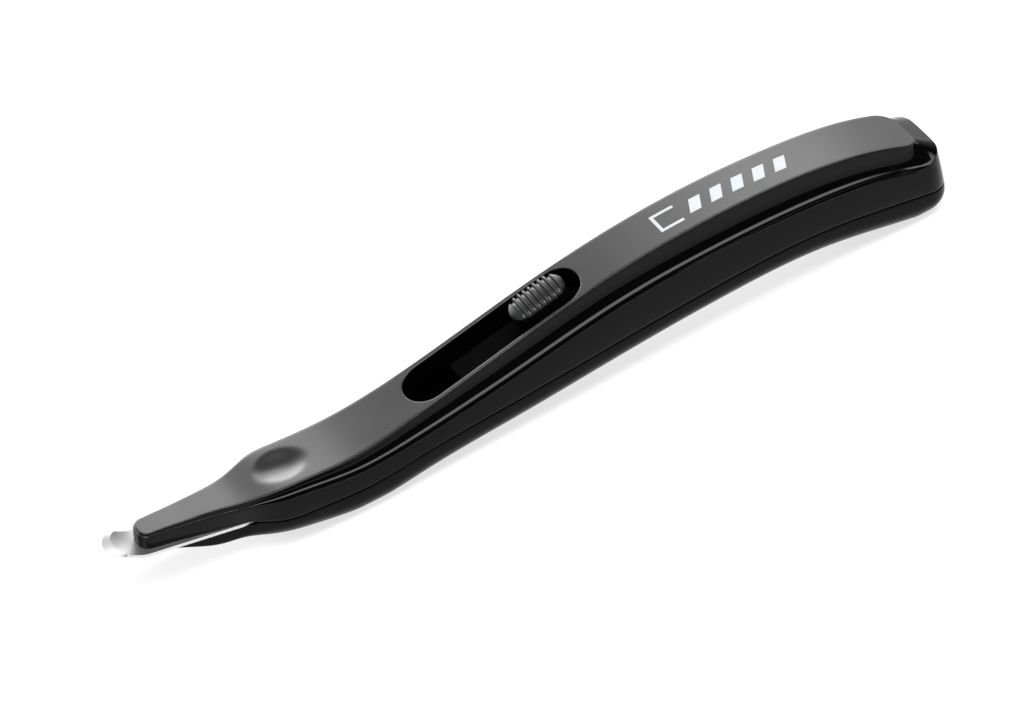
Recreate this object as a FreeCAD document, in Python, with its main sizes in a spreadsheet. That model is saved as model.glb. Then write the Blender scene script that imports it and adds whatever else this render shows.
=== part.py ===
import FreeCAD, Part
import math
import os
import Sketcher

# Hand staple remover: a long hollow handle in two halves, a spoon-shaped steel
# blade clamped in its nose, and a thumb slide that carries a magnet over the
# blade's tail.  Millimetres.  Z is up, the nose points to -X, the object rests
# on the belly and the rear end of its lower half at Z = 0.

V = FreeCAD.Vector

# ---------------------------------------------------------------- dimensions

# One row per station along the handle:
# x, plateau half width, plateau top, crease half width, crease top,
# seam half width, seam top, underside height, underside edge radius
STATION_FIELDS = (
    "x", "plateau_half", "plateau_top", "crease_half", "crease_top",
    "seam_half", "seam_top", "under", "under_round",
)
STATIONS = {
    "nose_front": (-73.95, 2.15, 14.0, 2.5, 13.55, 2.4, 10.8, 10.4, 0.2),
    "nose_middle": (-70.05, 2.3, 13.6, 2.65, 13.0, 2.55, 9.95, 9.2, 0.3),
    "nose_root": (-61.55, 2.8, 12.6, 3.25, 11.65, 3.3, 8.0, 5.0, 0.9),
    "neck": (-56.55, 3.6, 12.25, 4.4, 10.95, 4.7, 7.2, 3.4, 1.7),
    "shoulder": (-51.55, 4.9, 12.45, 6.6, 11.0, 6.95, 6.85, 2.2, 3.0),
    "thumb": (-45.55, 5.75, 11.85, 7.5, 10.2, 7.95, 6.6, 1.0, 3.7),
    "belly": (-36.55, 5.75, 11.25, 7.6, 8.95, 8.1, 5.9, -0.1, 4.0),
    "waist": (-25.55, 5.4, 12.35, 7.6, 9.35, 8.1, 6.6, 0.75, 4.0),
    "slide_middle": (-5.55, 5.15, 16.35, 7.65, 12.15, 8.15, 7.8, 2.2, 4.0),
    "slide_rear": (14.45, 5.0, 20.1, 7.65, 15.3, 8.15, 9.0, 3.65, 4.0),
    "crown": (35.45, 5.0, 21.6, 7.65, 16.3, 8.2, 10.05, 4.65, 4.0),
    "haunch": (54.45, 4.95, 20.6, 7.65, 15.35, 8.2, 9.65, 3.85, 4.0),
    "rear": (69.45, 5.2, 17.4, 7.65, 12.75, 8.15, 7.1, 0.7, 4.0),
    "rear_over": (81.45, 5.4, 12.2, 7.65, 8.4, 8.1, 4.6, -1.9, 4.0),
}

DIMS = {
    "wall": 1.6,
    "roof": 1.8,
    "seam_gap": 0.3,
    "roof_inset": 1.3,
    "crease_inset": 2.0,
    "crease_drop": 1.3,
    "seam_lap": 1.0,
    "corner_clear": 0.2,
    "smallest_step": 0.12,
    "rear_crown_x": 76.7,
    "rear_crown_z": 14.2,
    "rear_rim_x": 80.1,
    "rear_rim_z": 12.3,
    "rim_foot_x": 74.5,
    "rim_foot_z": 10.9,
    "rim_start_x": 77.3,
    "rim_base_z": 8.0,
    "rear_seam_x": 80.25,
    "rear_seam_z": 5.3,
    "rear_under_round": 4.0,
    "rear_corner": 4.2,
    "rear_half": 8.15,
    "crown_corner": 2.8,
    "crown_half": 5.25,
    "nose_corner": 1.7,
    "tongue_corner": 1.5,
    "slide_tilt": 11.2,
    "slide_origin_x": -5.6,
    "slide_origin_z": 16.45,
    "slot_length": 35.4,
    "slot_width": 8.5,
    "collar_wall": 0.7,
    "collar_start": 1.0,
    "collar_depth": 4.5,
    "button_x": 9.73,
    "button_length": 10.8,
    "button_width": 5.9,
    "button_crown": 2.0,
    "button_skirt": 3.4,
    "groove_pitch": 1.04,
    "groove_depth": 0.5,
    "groove_count": 8,
    "groove_mouth": 0.34,
    "groove_floor": 0.1,
    "crown_round": 0.9,
    "neck_length": 6.2,
    "neck_width": 3.2,
    "neck_top": -0.6,
    "deck_front": -8.0,
    "deck_rear": 22.0,
    "deck_half": 4.6,
    "deck_top": -4.8,
    "deck_thick": 1.4,
    "holder_length": 10.4,
    "holder_width": 8.4,
    "holder_bottom": -7.9,
    "magnet_length": 8.0,
    "magnet_width": 6.0,
    "magnet_thick": 3.0,
    "magnet_bottom": -8.4,
    "arm_width": 2.0,
    "arm_length": 7.0,
    "arm_slit": 0.6,
    "blade_thick": 0.6,
    "blade_slope": 13.2,
    "blade_line_x": -56.1,
    "blade_line_z": 6.9,
    "blade_tip_radius": 9.0,
    "blade_tip_sweep": 11.0,
    "blade_lip_length": 4.92,
    "blade_tip_start_x": -74.0,
    "blade_bend_radius": 40.0,
    "blade_tail_drop": 8.75,
    "blade_tail_end": -16.0,
    "blade_tip_half": 3.5,
    "blade_body_half": 5.0,
    "blade_tail_half": 3.8,
    "blade_corner": 2.3,
    "blade_bulge": 0.7,
    "blade_neck_front": -55.9,
    "blade_neck_rear": -53.6,
    "blade_waist_front": -48.05,
    "blade_waist_rear": -45.05,
    "bevel_length": 1.8,
    "bevel_share": 0.62,
    "seat_end_x": -47.05,
    "blade_slot_half": 5.15,
    "peg_round": 2.4,
    "peg_x": -49.05,
    "front_screw_x": -42.55,
    "rear_screw_x": 59.95,
    "front_seat_z": 1.9,
    "rear_seat_z": 5.4,
    "screw_shank": 2.2,
    "screw_length": 8.0,
    "screw_head": 4.0,
    "screw_head_thick": 1.3,
    "cross_reach": 1.2,
    "cross_half": 0.3,
    "cross_depth": 0.8,
    "pilot_hole": 2.3,
    "pilot_spare": 0.3,
    "head_well": 4.4,
    "shank_hole": 2.4,
    "pillar": 4.8,
    "pillar_base": 5.8,
    "boss": 5.2,
    "front_floor_z": 1.0,
    "front_base_z": 2.35,
    "front_split_z": 6.35,
    "front_boss_top": 10.75,
    "rear_floor_z": 4.0,
    "rear_base_z": 7.2,
    "rear_split_z": 8.9,
    "rear_boss_top": 17.5,
    "peg_foot_z": 2.5,
    "peg_height": 3.9,
    "pillar_clear": 0.15,
    "peg_clear": 0.1,
    "dimple_x": -47.2,
    "dimple_z": 11.95,
    "dimple_roundness": 0.85,
    "dimple_length": 9.5,
    "dimple_width": 7.0,
    "dimple_depth": 0.6,
    "dimple_tilt": -4.0,
}

# Reach of a cutting shape that must pass right through the object
BEYOND = 100.0

doc = FreeCAD.newDocument("staple_remover")
sheet = doc.addObject("Spreadsheet::Sheet", "dims")
for station, values in STATIONS.items():
    for field, value in zip(STATION_FIELDS, values):
        DIMS[station + "_" + field] = value
for row, (name, value) in enumerate(DIMS.items(), start=1):
    sheet.set("A%d" % row, name)
    sheet.set("B%d" % row, str(value))
    sheet.setAlias("B%d" % row, name)
doc.recompute()


def size(name):
    return float(sheet.get(name))


# ------------------------------------------------------------ sketch helpers

class Outline:
    """A closed sketch whose points are bound one by one to the sheet."""

    def __init__(self, body, name, role):
        self.sketch = body.newObject("Sketcher::SketchObject", name)
        plane = [f for f in body.Origin.OriginFeatures if f.Role == role][0]
        self.sketch.AttachmentSupport = [(plane, "")]
        self.sketch.MapMode = "FlatFace"
        self.body = body

    def shift(self, x=0.0, y=0.0, z=0.0, tilt=0.0, expression=None):
        turn = FreeCAD.Rotation(V(0, 1, 0), tilt)
        self.sketch.AttachmentOffset = FreeCAD.Placement(V(x, y, z), turn)
        if expression:
            self.sketch.setExpression(".AttachmentOffset.Base.z", expression)
        return self

    def bind(self, kind, geometry, point, value, expression):
        constraint = Sketcher.Constraint(kind, -1, 1, geometry, point, value)
        index = self.sketch.addConstraint(constraint)
        if expression:
            self.sketch.setExpression("Constraints[%d]" % index, expression)

    def fix(self, geometry, point, x, y, x_expression=None, y_expression=None):
        self.bind("DistanceX", geometry, point, x, x_expression)
        self.bind("DistanceY", geometry, point, y, y_expression)

    def join(self, pairs):
        for first, first_end, second, second_end in pairs:
            self.sketch.addConstraint(Sketcher.Constraint(
                "Coincident", first, first_end, second, second_end))

    def polygon(self, points):
        """points: (x, y, x expression, y expression), in order."""
        count = len(points)
        start = self.sketch.GeometryCount
        for i in range(count):
            a = points[i]
            b = points[(i + 1) % count]
            self.sketch.addGeometry(Part.LineSegment(V(a[0], a[1], 0), V(b[0], b[1], 0)))
        self.join([(start + i, 2, start + (i + 1) % count, 1) for i in range(count)])
        for i, p in enumerate(points):
            ex = p[2] if len(p) > 2 else None
            ey = p[3] if len(p) > 3 else None
            self.fix(start + i, 1, p[0], p[1], ex, ey)
        return self.sketch

    def circle(self, x, y, radius, x_expression=None, radius_expression=None):
        index = self.sketch.addGeometry(Part.Circle(V(x, y, 0), V(0, 0, 1), radius))
        self.fix(index, 3, x, y, x_expression)
        constraint = self.sketch.addConstraint(Sketcher.Constraint("Radius", index, radius))
        if radius_expression:
            self.sketch.setExpression("Constraints[%d]" % constraint, radius_expression)
        return self.sketch

    def stadium(self, centre, length, width, names=None):
        """A slot shape along the sketch's X axis; names = (centre, length, width)."""
        radius = width / 2.0
        reach = length / 2.0 - radius
        up = V(0, 0, 1)
        sk = self.sketch
        low = sk.addGeometry(Part.LineSegment(V(centre - reach, -radius, 0),
                                              V(centre + reach, -radius, 0)))
        right = sk.addGeometry(Part.ArcOfCircle(Part.Circle(V(centre + reach, 0, 0), up, radius),
                                                -math.pi / 2, math.pi / 2))
        high = sk.addGeometry(Part.LineSegment(V(centre + reach, radius, 0),
                                               V(centre - reach, radius, 0)))
        left = sk.addGeometry(Part.ArcOfCircle(Part.Circle(V(centre - reach, 0, 0), up, radius),
                                               math.pi / 2, 3 * math.pi / 2))
        self.join([(low, 2, right, 1), (right, 2, high, 1),
                   (high, 2, left, 1), (left, 2, low, 1)])
        mid, long_name, wide_name = names if names else (None, None, None)
        reach_text = None
        if names:
            reach_text = "(dims.%s - dims.%s) / 2" % (long_name, wide_name)
        self.fix(right, 3, centre + reach, 0.0,
                 names and "%s + %s" % (mid, reach_text), None)
        self.fix(left, 3, centre - reach, 0.0,
                 names and "%s - %s" % (mid, reach_text), None)
        self.fix(low, 2, centre + reach, -radius,
                 names and "%s + %s" % (mid, reach_text),
                 names and "-dims.%s / 2" % wide_name)
        self.fix(high, 2, centre - reach, radius,
                 names and "%s - %s" % (mid, reach_text),
                 names and "dims.%s / 2" % wide_name)
        for arc in (right, left):
            sk.addConstraint(Sketcher.Constraint("Vertical", arc, 1, arc, 2))
        return sk


def new_body(label):
    body = doc.addObject("PartDesign::Body", label)
    body.Label = label
    return body


def finish(body, feature):
    body.Tip = feature
    doc.recompute()
    return feature


def pad(body, sketch, name, length, both=False, reverse=False, expression=None):
    feature = body.newObject("PartDesign::Pad", name)
    feature.Profile = sketch
    feature.Length = length
    feature.Midplane = both
    feature.Reversed = reverse
    if expression:
        feature.setExpression("Length", expression)
    return finish(body, feature)


def cut(body, sketch, name, length, both=False, reverse=False):
    before = body.Shape.Volume
    feature = body.newObject("PartDesign::Pocket", name)
    feature.Profile = sketch
    feature.Length = length
    feature.Midplane = both
    feature.Reversed = reverse
    finish(body, feature)
    if body.Shape.Volume >= before - 1e-6:
        raise RuntimeError("cut %s removed nothing" % name)
    return feature


def loft(body, sketches, name, kind="Additive", ruled=False):
    feature = body.newObject("PartDesign::%sLoft" % kind, name)
    feature.Profile = sketches[0]
    feature.Sections = sketches[1:]
    feature.Ruled = ruled
    return finish(body, feature)


def dim(name):
    return "dims." + name


# ------------------------------------------------------------- casing halves

def shell_section(body, name, station):
    """Upper casing section: plateau, upright step, cove to the crease, wall."""
    half = size(station + "_plateau_half")
    top = size(station + "_plateau_top")
    crease_half = size(station + "_crease_half")
    crease = size(station + "_crease_top")
    seam_half = size(station + "_seam_half")
    seam = size(station + "_seam_top")
    run = crease_half - half
    fall = top - crease
    step = max(size("smallest_step"), fall - run)
    rise = fall - step
    radius = (run * run + rise * rise) / (2.0 * rise)
    outline = Outline(body, name, "YZ_Plane").shift(
        z=size(station + "_x"), expression=dim(station + "_x"))
    sk = outline.sketch
    up = V(0, 0, 1)
    start_angle = math.atan2(rise - radius, half - crease_half)
    if start_angle < 0:
        start_angle += 2 * math.pi
    right_arc = Part.ArcOfCircle(Part.Circle(V(crease_half, crease + radius, 0), up, radius),
                                 start_angle, 1.5 * math.pi)
    left_arc = Part.ArcOfCircle(Part.Circle(V(-crease_half, crease + radius, 0), up, radius),
                                1.5 * math.pi, 3 * math.pi - start_angle)
    foot = crease + rise
    line = Part.LineSegment
    sk.addGeometry(line(V(-half, top, 0), V(half, top, 0)))
    sk.addGeometry(line(V(half, top, 0), V(half, foot, 0)))
    sk.addGeometry(right_arc)
    sk.addGeometry(line(V(crease_half, crease, 0), V(seam_half, seam, 0)))
    sk.addGeometry(line(V(seam_half, seam, 0), V(-seam_half, seam, 0)))
    sk.addGeometry(line(V(-seam_half, seam, 0), V(-crease_half, crease, 0)))
    sk.addGeometry(left_arc)
    sk.addGeometry(line(V(-half, foot, 0), V(-half, top, 0)))
    outline.join([(0, 2, 1, 1), (1, 2, 2, 1), (2, 2, 3, 1), (3, 2, 4, 1),
                  (4, 2, 5, 1), (5, 2, 6, 1), (6, 2, 7, 1), (7, 2, 0, 1)])
    for arc, end in ((2, 2), (6, 1)):
        sk.addConstraint(Sketcher.Constraint("Vertical", arc, 3, arc, end))
    names = {key: dim(station + "_" + key) for key in STATION_FIELDS}
    foot_text = "%s - max(dims.smallest_step; %s - %s - %s + %s)" % (
        names["plateau_top"], names["plateau_top"], names["crease_top"],
        names["crease_half"], names["plateau_half"])
    outline.fix(0, 2, half, top, names["plateau_half"], names["plateau_top"])
    outline.fix(0, 1, -half, top, "-" + names["plateau_half"], names["plateau_top"])
    outline.fix(1, 2, half, foot, names["plateau_half"], foot_text)
    outline.fix(7, 1, -half, foot, "-" + names["plateau_half"], foot_text)
    outline.fix(3, 1, crease_half, crease, names["crease_half"], names["crease_top"])
    outline.fix(5, 2, -crease_half, crease, "-" + names["crease_half"], names["crease_top"])
    outline.fix(3, 2, seam_half, seam, names["seam_half"], names["seam_top"])
    outline.fix(4, 2, -seam_half, seam, "-" + names["seam_half"], names["seam_top"])
    return sk


def tray_section(body, name, station):
    """Lower casing section: upright wall from the seam, round edge, flat floor."""
    half = size(station + "_seam_half")
    rim = size(station + "_seam_top") - size("seam_gap")
    under = size(station + "_under")
    radius = size(station + "_under_round")
    outline = Outline(body, name, "YZ_Plane").shift(
        z=size(station + "_x"), expression=dim(station + "_x"))
    sk = outline.sketch
    up = V(0, 0, 1)
    flat = half - radius
    side = under + radius
    line = Part.LineSegment
    sk.addGeometry(line(V(-half, rim, 0), V(half, rim, 0)))
    sk.addGeometry(line(V(half, rim, 0), V(half, side, 0)))
    sk.addGeometry(Part.ArcOfCircle(Part.Circle(V(flat, side, 0), up, radius),
                                    1.5 * math.pi, 2 * math.pi))
    sk.addGeometry(line(V(flat, under, 0), V(-flat, under, 0)))
    sk.addGeometry(Part.ArcOfCircle(Part.Circle(V(-flat, side, 0), up, radius),
                                    math.pi, 1.5 * math.pi))
    sk.addGeometry(line(V(-half, side, 0), V(-half, rim, 0)))
    outline.join([(0, 2, 1, 1), (1, 2, 2, 2), (2, 1, 3, 1), (3, 2, 4, 2),
                  (4, 1, 5, 1), (5, 2, 0, 1)])
    names = {key: dim(station + "_" + key) for key in STATION_FIELDS}
    rim_text = names["seam_top"] + " - dims.seam_gap"
    flat_text = names["seam_half"] + " - " + names["under_round"]
    side_text = names["under"] + " + " + names["under_round"]
    outline.fix(0, 2, half, rim, names["seam_half"], rim_text)
    outline.fix(0, 1, -half, rim, "-" + names["seam_half"], rim_text)
    outline.fix(2, 3, flat, side, flat_text, side_text)
    outline.fix(4, 3, -flat, side, "-(" + flat_text + ")", side_text)
    outline.fix(1, 2, half, side, names["seam_half"], side_text)
    outline.fix(5, 1, -half, side, "-" + names["seam_half"], side_text)
    sk.addConstraint(Sketcher.Constraint("Vertical", 2, 3, 2, 1))
    sk.addConstraint(Sketcher.Constraint("Vertical", 4, 3, 4, 2))
    return sk


def mirrored(points):
    """Close a right-hand chain of bound points with its mirror image."""
    left = [(-x, y, "-(%s)" % ex, ey) for x, y, ex, ey in reversed(points)]
    return points + left


def shell_hollow_section(body, name, station):
    """Hollow of the upper casing: under the plateau, past the crease, to the seam."""
    n = {key: dim(station + "_" + key) for key in STATION_FIELDS}
    s = {key: size(station + "_" + key) for key in STATION_FIELDS}
    points = [
        (s["plateau_half"] - size("roof_inset"), s["plateau_top"] - size("roof"),
         n["plateau_half"] + " - dims.roof_inset", n["plateau_top"] + " - dims.roof"),
        (s["crease_half"] - size("crease_inset"), s["crease_top"] - size("crease_drop"),
         n["crease_half"] + " - dims.crease_inset", n["crease_top"] + " - dims.crease_drop"),
        (s["seam_half"] - size("wall"), s["seam_top"] - size("seam_lap"),
         n["seam_half"] + " - dims.wall", n["seam_top"] + " - dims.seam_lap"),
    ]
    outline = Outline(body, name, "YZ_Plane").shift(z=s["x"], expression=n["x"])
    return outline.polygon(mirrored(points))


def tray_hollow_section(body, name, station):
    """Hollow of the lower casing: upright walls, sloping corners, flat floor."""
    n = {key: dim(station + "_" + key) for key in STATION_FIELDS}
    s = {key: size(station + "_" + key) for key in STATION_FIELDS}
    wall = size("wall")
    clear = size("corner_clear")
    points = [
        (s["seam_half"] - wall, s["seam_top"] + size("seam_lap"),
         n["seam_half"] + " - dims.wall", n["seam_top"] + " + dims.seam_lap"),
        (s["seam_half"] - wall, s["under"] + s["under_round"] + clear,
         n["seam_half"] + " - dims.wall",
         n["under"] + " + " + n["under_round"] + " + dims.corner_clear"),
        (s["seam_half"] - s["under_round"] - clear, s["under"] + wall,
         n["seam_half"] + " - " + n["under_round"] + " - dims.corner_clear",
         n["under"] + " + dims.wall"),
    ]
    outline = Outline(body, name, "YZ_Plane").shift(z=s["x"], expression=n["x"])
    return outline.polygon(mirrored(points))


def round_corners(body, name, end_x, half, radius, direction, above=0.0):
    """Trim both plan corners at one end to upright cylinders, from a given height up."""
    outline = Outline(body, name + "_plan", "XY_Plane").shift(z=above)
    sk = outline.sketch
    reach = 12.0
    for side in (1, -1):
        start = sk.GeometryCount
        inner_x = end_x - direction * radius
        outer_x = end_x + direction * reach
        inner_y = side * (half - radius)
        outer_y = side * (half + reach)
        edge_y = side * half
        centre = V(inner_x, inner_y, 0)
        if direction * side > 0:
            first, last = (0.0, math.pi / 2) if direction > 0 else (math.pi, 1.5 * math.pi)
        else:
            first, last = (1.5 * math.pi, 2 * math.pi) if direction > 0 else (math.pi / 2, math.pi)
        sk.addGeometry(Part.ArcOfCircle(Part.Circle(centre, V(0, 0, 1), radius), first, last))
        arc = sk.Geometry[start]
        begin, end = arc.StartPoint, arc.EndPoint
        on_side = begin if abs(begin.x - inner_x) < 1e-6 else end
        on_end = end if on_side is begin else begin
        side_pos = 1 if on_side is begin else 2
        end_pos = 3 - side_pos
        corners = [V(inner_x, outer_y, 0), V(outer_x, outer_y, 0), V(outer_x, inner_y, 0)]
        chain = [on_side] + corners + [on_end]
        for a, b in zip(chain[:-1], chain[1:]):
            sk.addGeometry(Part.LineSegment(V(a), V(b)))
        outline.join([(start, side_pos, start + 1, 1), (start + 1, 2, start + 2, 1),
                      (start + 2, 2, start + 3, 1), (start + 3, 2, start + 4, 1),
                      (start + 4, 2, start, end_pos)])
        outline.fix(start, 3, inner_x, inner_y)
        outline.fix(start, side_pos, inner_x, edge_y)
        outline.bind("DistanceY", start, end_pos, inner_y, None)
        for i, corner in enumerate(corners):
            outline.fix(start + 2 + i, 1, corner.x, corner.y)
    if above:
        return cut(body, sk, name, BEYOND, reverse=True)
    return cut(body, sk, name, 2 * BEYOND, both=True)


def blade_axis(top):
    """Side view of the blade's top (offset 0) or bottom face (offset thickness)."""
    offset = 0.0 if top else size("blade_thick")
    slope = math.radians(size("blade_slope"))
    tilt = math.radians(size("slide_tilt"))
    down = V(math.cos(slope), -math.sin(slope), 0)
    down_normal = V(math.sin(slope), math.cos(slope), 0)
    up = V(math.cos(tilt), math.sin(tilt), 0)
    up_normal = V(-math.sin(tilt), math.cos(tilt), 0)
    line_point = V(size("blade_line_x"), size("blade_line_z"), 0)
    # the tail runs parallel to the slide axis, a fixed drop below it
    tail_point = V(size("slide_origin_x"), size("slide_origin_z"), 0) - up_normal * size(
        "blade_tail_drop")
    cross = down.x * up.y - down.y * up.x
    gap = tail_point - line_point
    meet = line_point + down * ((gap.x * up.y - gap.y * up.x) / cross)
    bend = size("blade_bend_radius")
    reach = bend * math.tan((slope + tilt) / 2.0)
    bend_start = meet - down * reach
    bend_end = meet + up * reach
    bend_centre = bend_start + down_normal * bend
    tip_start = line_point + down * ((size("blade_tip_start_x") - line_point.x) / down.x)
    tip_radius = size("blade_tip_radius")
    tip_centre = tip_start + down_normal * tip_radius
    tip_turn = slope + math.radians(size("blade_tip_sweep"))
    lip = V(-math.cos(tip_turn), math.sin(tip_turn), 0) * size("blade_lip_length")
    tail_end = tail_point + up * size("blade_tail_end")

    def on_circle(centre, radius, turn):
        return centre + V(-math.sin(turn), -math.cos(turn), 0) * (radius + offset)

    return {
        "tip": on_circle(tip_centre, tip_radius, tip_turn) + lip,
        "lip_start": on_circle(tip_centre, tip_radius, tip_turn),
        "tip_mid": on_circle(tip_centre, tip_radius, (slope + tip_turn) / 2.0),
        "tip_start": tip_start - down_normal * offset,
        "bend_start": bend_start - down_normal * offset,
        "bend_mid": on_circle(bend_centre, bend, (slope - tilt) / 2.0),
        "bend_end": bend_end - up_normal * offset,
        "tail_end": tail_end - up_normal * offset,
    }


def round_feature(body, name, x_name, width_name, foot, height, operation, **options):
    """An upright round boss or hole: its sketch stands at the height of its foot."""
    sk = Outline(body, name + "_plan", "XY_Plane").shift(z=foot).circle(
        size(x_name), 0.0, size(width_name) / 2.0, dim(x_name), dim(width_name) + " / 2")
    return operation(body, sk, name, height, **options)


def blade_face_line(drop):
    """Points on the straight part of the blade's face, ahead of the seat's end."""
    slope = math.tan(math.radians(size("blade_slope")))
    points = []
    for x in (-BEYOND, size("seat_end_x")):
        points.append((x, size("blade_line_z") - drop - slope * (x - size("blade_line_x"))))
    return points


def build_upper_casing():
    body = new_body("upper_casing")
    outer = [shell_section(body, "shell_" + s, s) for s in STATIONS]
    loft(body, outer, "shell")
    # hollow from behind the nose to the rear wall
    inner_stations = list(STATIONS)[list(STATIONS).index("neck"):-1]
    inner = [shell_hollow_section(body, "hollow_" + s, s) for s in inner_stations]
    loft(body, inner, "hollow", "Subtractive", ruled=True)
    # collar that hangs from the roof around the thumb slot
    tilt = size("slide_tilt")
    origin = V(size("slide_origin_x"), 0, size("slide_origin_z"))
    turn = FreeCAD.Rotation(V(0, 1, 0), -tilt)

    def on_slide_plane(outline, height):
        lift = turn.multVec(V(0, 0, height))
        outline.sketch.AttachmentOffset = FreeCAD.Placement(origin + lift, turn)
        return outline

    collar_wall = size("collar_wall")
    start = size("collar_start")
    outline = on_slide_plane(Outline(body, "collar_plan", "XY_Plane"), -start)
    sk = outline.stadium(0.0, size("slot_length") + 2 * collar_wall,
                         size("slot_width") + 2 * collar_wall)
    pad(body, sk, "collar", size("collar_depth") - start, reverse=True,
        expression="dims.collar_depth - dims.collar_start")
    above = 3.0
    outline = on_slide_plane(Outline(body, "slot_plan", "XY_Plane"), above)
    sk = outline.stadium(0.0, size("slot_length"), size("slot_width"),
                         ("0", "slot_length", "slot_width"))
    cut(body, sk, "slot", 2 * size("collar_depth"))
    # screw bosses that stand on the lower casing's pillars
    for name in ("front", "rear"):
        foot = size(name + "_split_z")
        height = size(name + "_boss_top") - foot
        round_feature(body, name + "_boss", name + "_screw_x", "boss", foot, height, pad)
        depth = size(name + "_seat_z") + size("screw_length") - foot + size("pilot_spare")
        round_feature(body, name + "_pilot", name + "_screw_x", "pilot_hole", foot, depth, cut,
                      reverse=True)
    # blade seat under the nose
    front, rear = blade_face_line(0.0)
    sk = Outline(body, "blade_seat_side", "XZ_Plane").polygon([
        front, rear, (rear[0], 0.0), (front[0], 0.0)])
    cut(body, sk, "blade_seat", 2 * size("blade_slot_half"), both=True)
    # thumb dimple: the cap of a large ellipsoid that dips below the flat top
    k = size("dimple_roundness")
    height = size("dimple_depth") / (1.0 - k)
    spread = math.sqrt(1.0 - k * k)
    bowl = body.newObject("PartDesign::SubtractiveEllipsoid", "thumb_dimple")
    bowl.Radius1 = height
    bowl.Radius2 = size("dimple_length") / 2.0 / spread
    bowl.Radius3 = size("dimple_width") / 2.0 / spread
    bowl.Placement = FreeCAD.Placement(V(size("dimple_x"), 0, size("dimple_z") + height * k),
                                       FreeCAD.Rotation(V(0, 1, 0), -size("dimple_tilt")))
    finish(body, bowl)
    # rear end: the coves climb round the corners into a low rim behind the flat top
    foot_x, foot_z = size("rim_foot_x"), size("rim_foot_z")
    rim_x, rim_z = size("rear_rim_x"), size("rear_rim_z")
    seam_x, seam_z = size("rear_seam_x"), size("rear_seam_z")
    crown_x, crown_z = size("rear_crown_x"), size("rear_crown_z")
    sk = Outline(body, "rear_rim_side", "XZ_Plane").polygon([
        (foot_x, foot_z, dim("rim_foot_x"), dim("rim_foot_z")),
        (size("rim_start_x"), rim_z, dim("rim_start_x"), dim("rear_rim_z")),
        (seam_x, rim_z),
        (seam_x, size("rim_base_z")),
        (foot_x, size("rim_base_z")),
    ])
    pad(body, sk, "rear_rim", 2 * size("crown_crease_half"), both=True)
    above = 6.0
    cove_depth = 0.3
    sk = Outline(body, "rear_side", "XZ_Plane").polygon([
        (crown_x, crown_z + above),
        (crown_x, crown_z, dim("rear_crown_x"), dim("rear_crown_z")),
        ((crown_x + rim_x) / 2, rim_z - cove_depth),
        (rim_x, rim_z, dim("rear_rim_x"), dim("rear_rim_z")),
        (seam_x, seam_z, dim("rear_seam_x"), dim("rear_seam_z")),
        (seam_x, 0.0),
        (BEYOND, 0.0),
        (BEYOND, crown_z + above),
    ])
    cut(body, sk, "rear_face", BEYOND, both=True)
    round_corners(body, "rear_corners", seam_x, size("rear_half"), size("rear_corner"), 1)
    round_corners(body, "crown_corners", crown_x, size("crown_half"), size("crown_corner"), 1,
                  above=rim_z)
    round_corners(body, "nose_corners", size("nose_front_x"), size("nose_front_crease_half"),
                  size("nose_corner"), -1)
    return body


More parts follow.
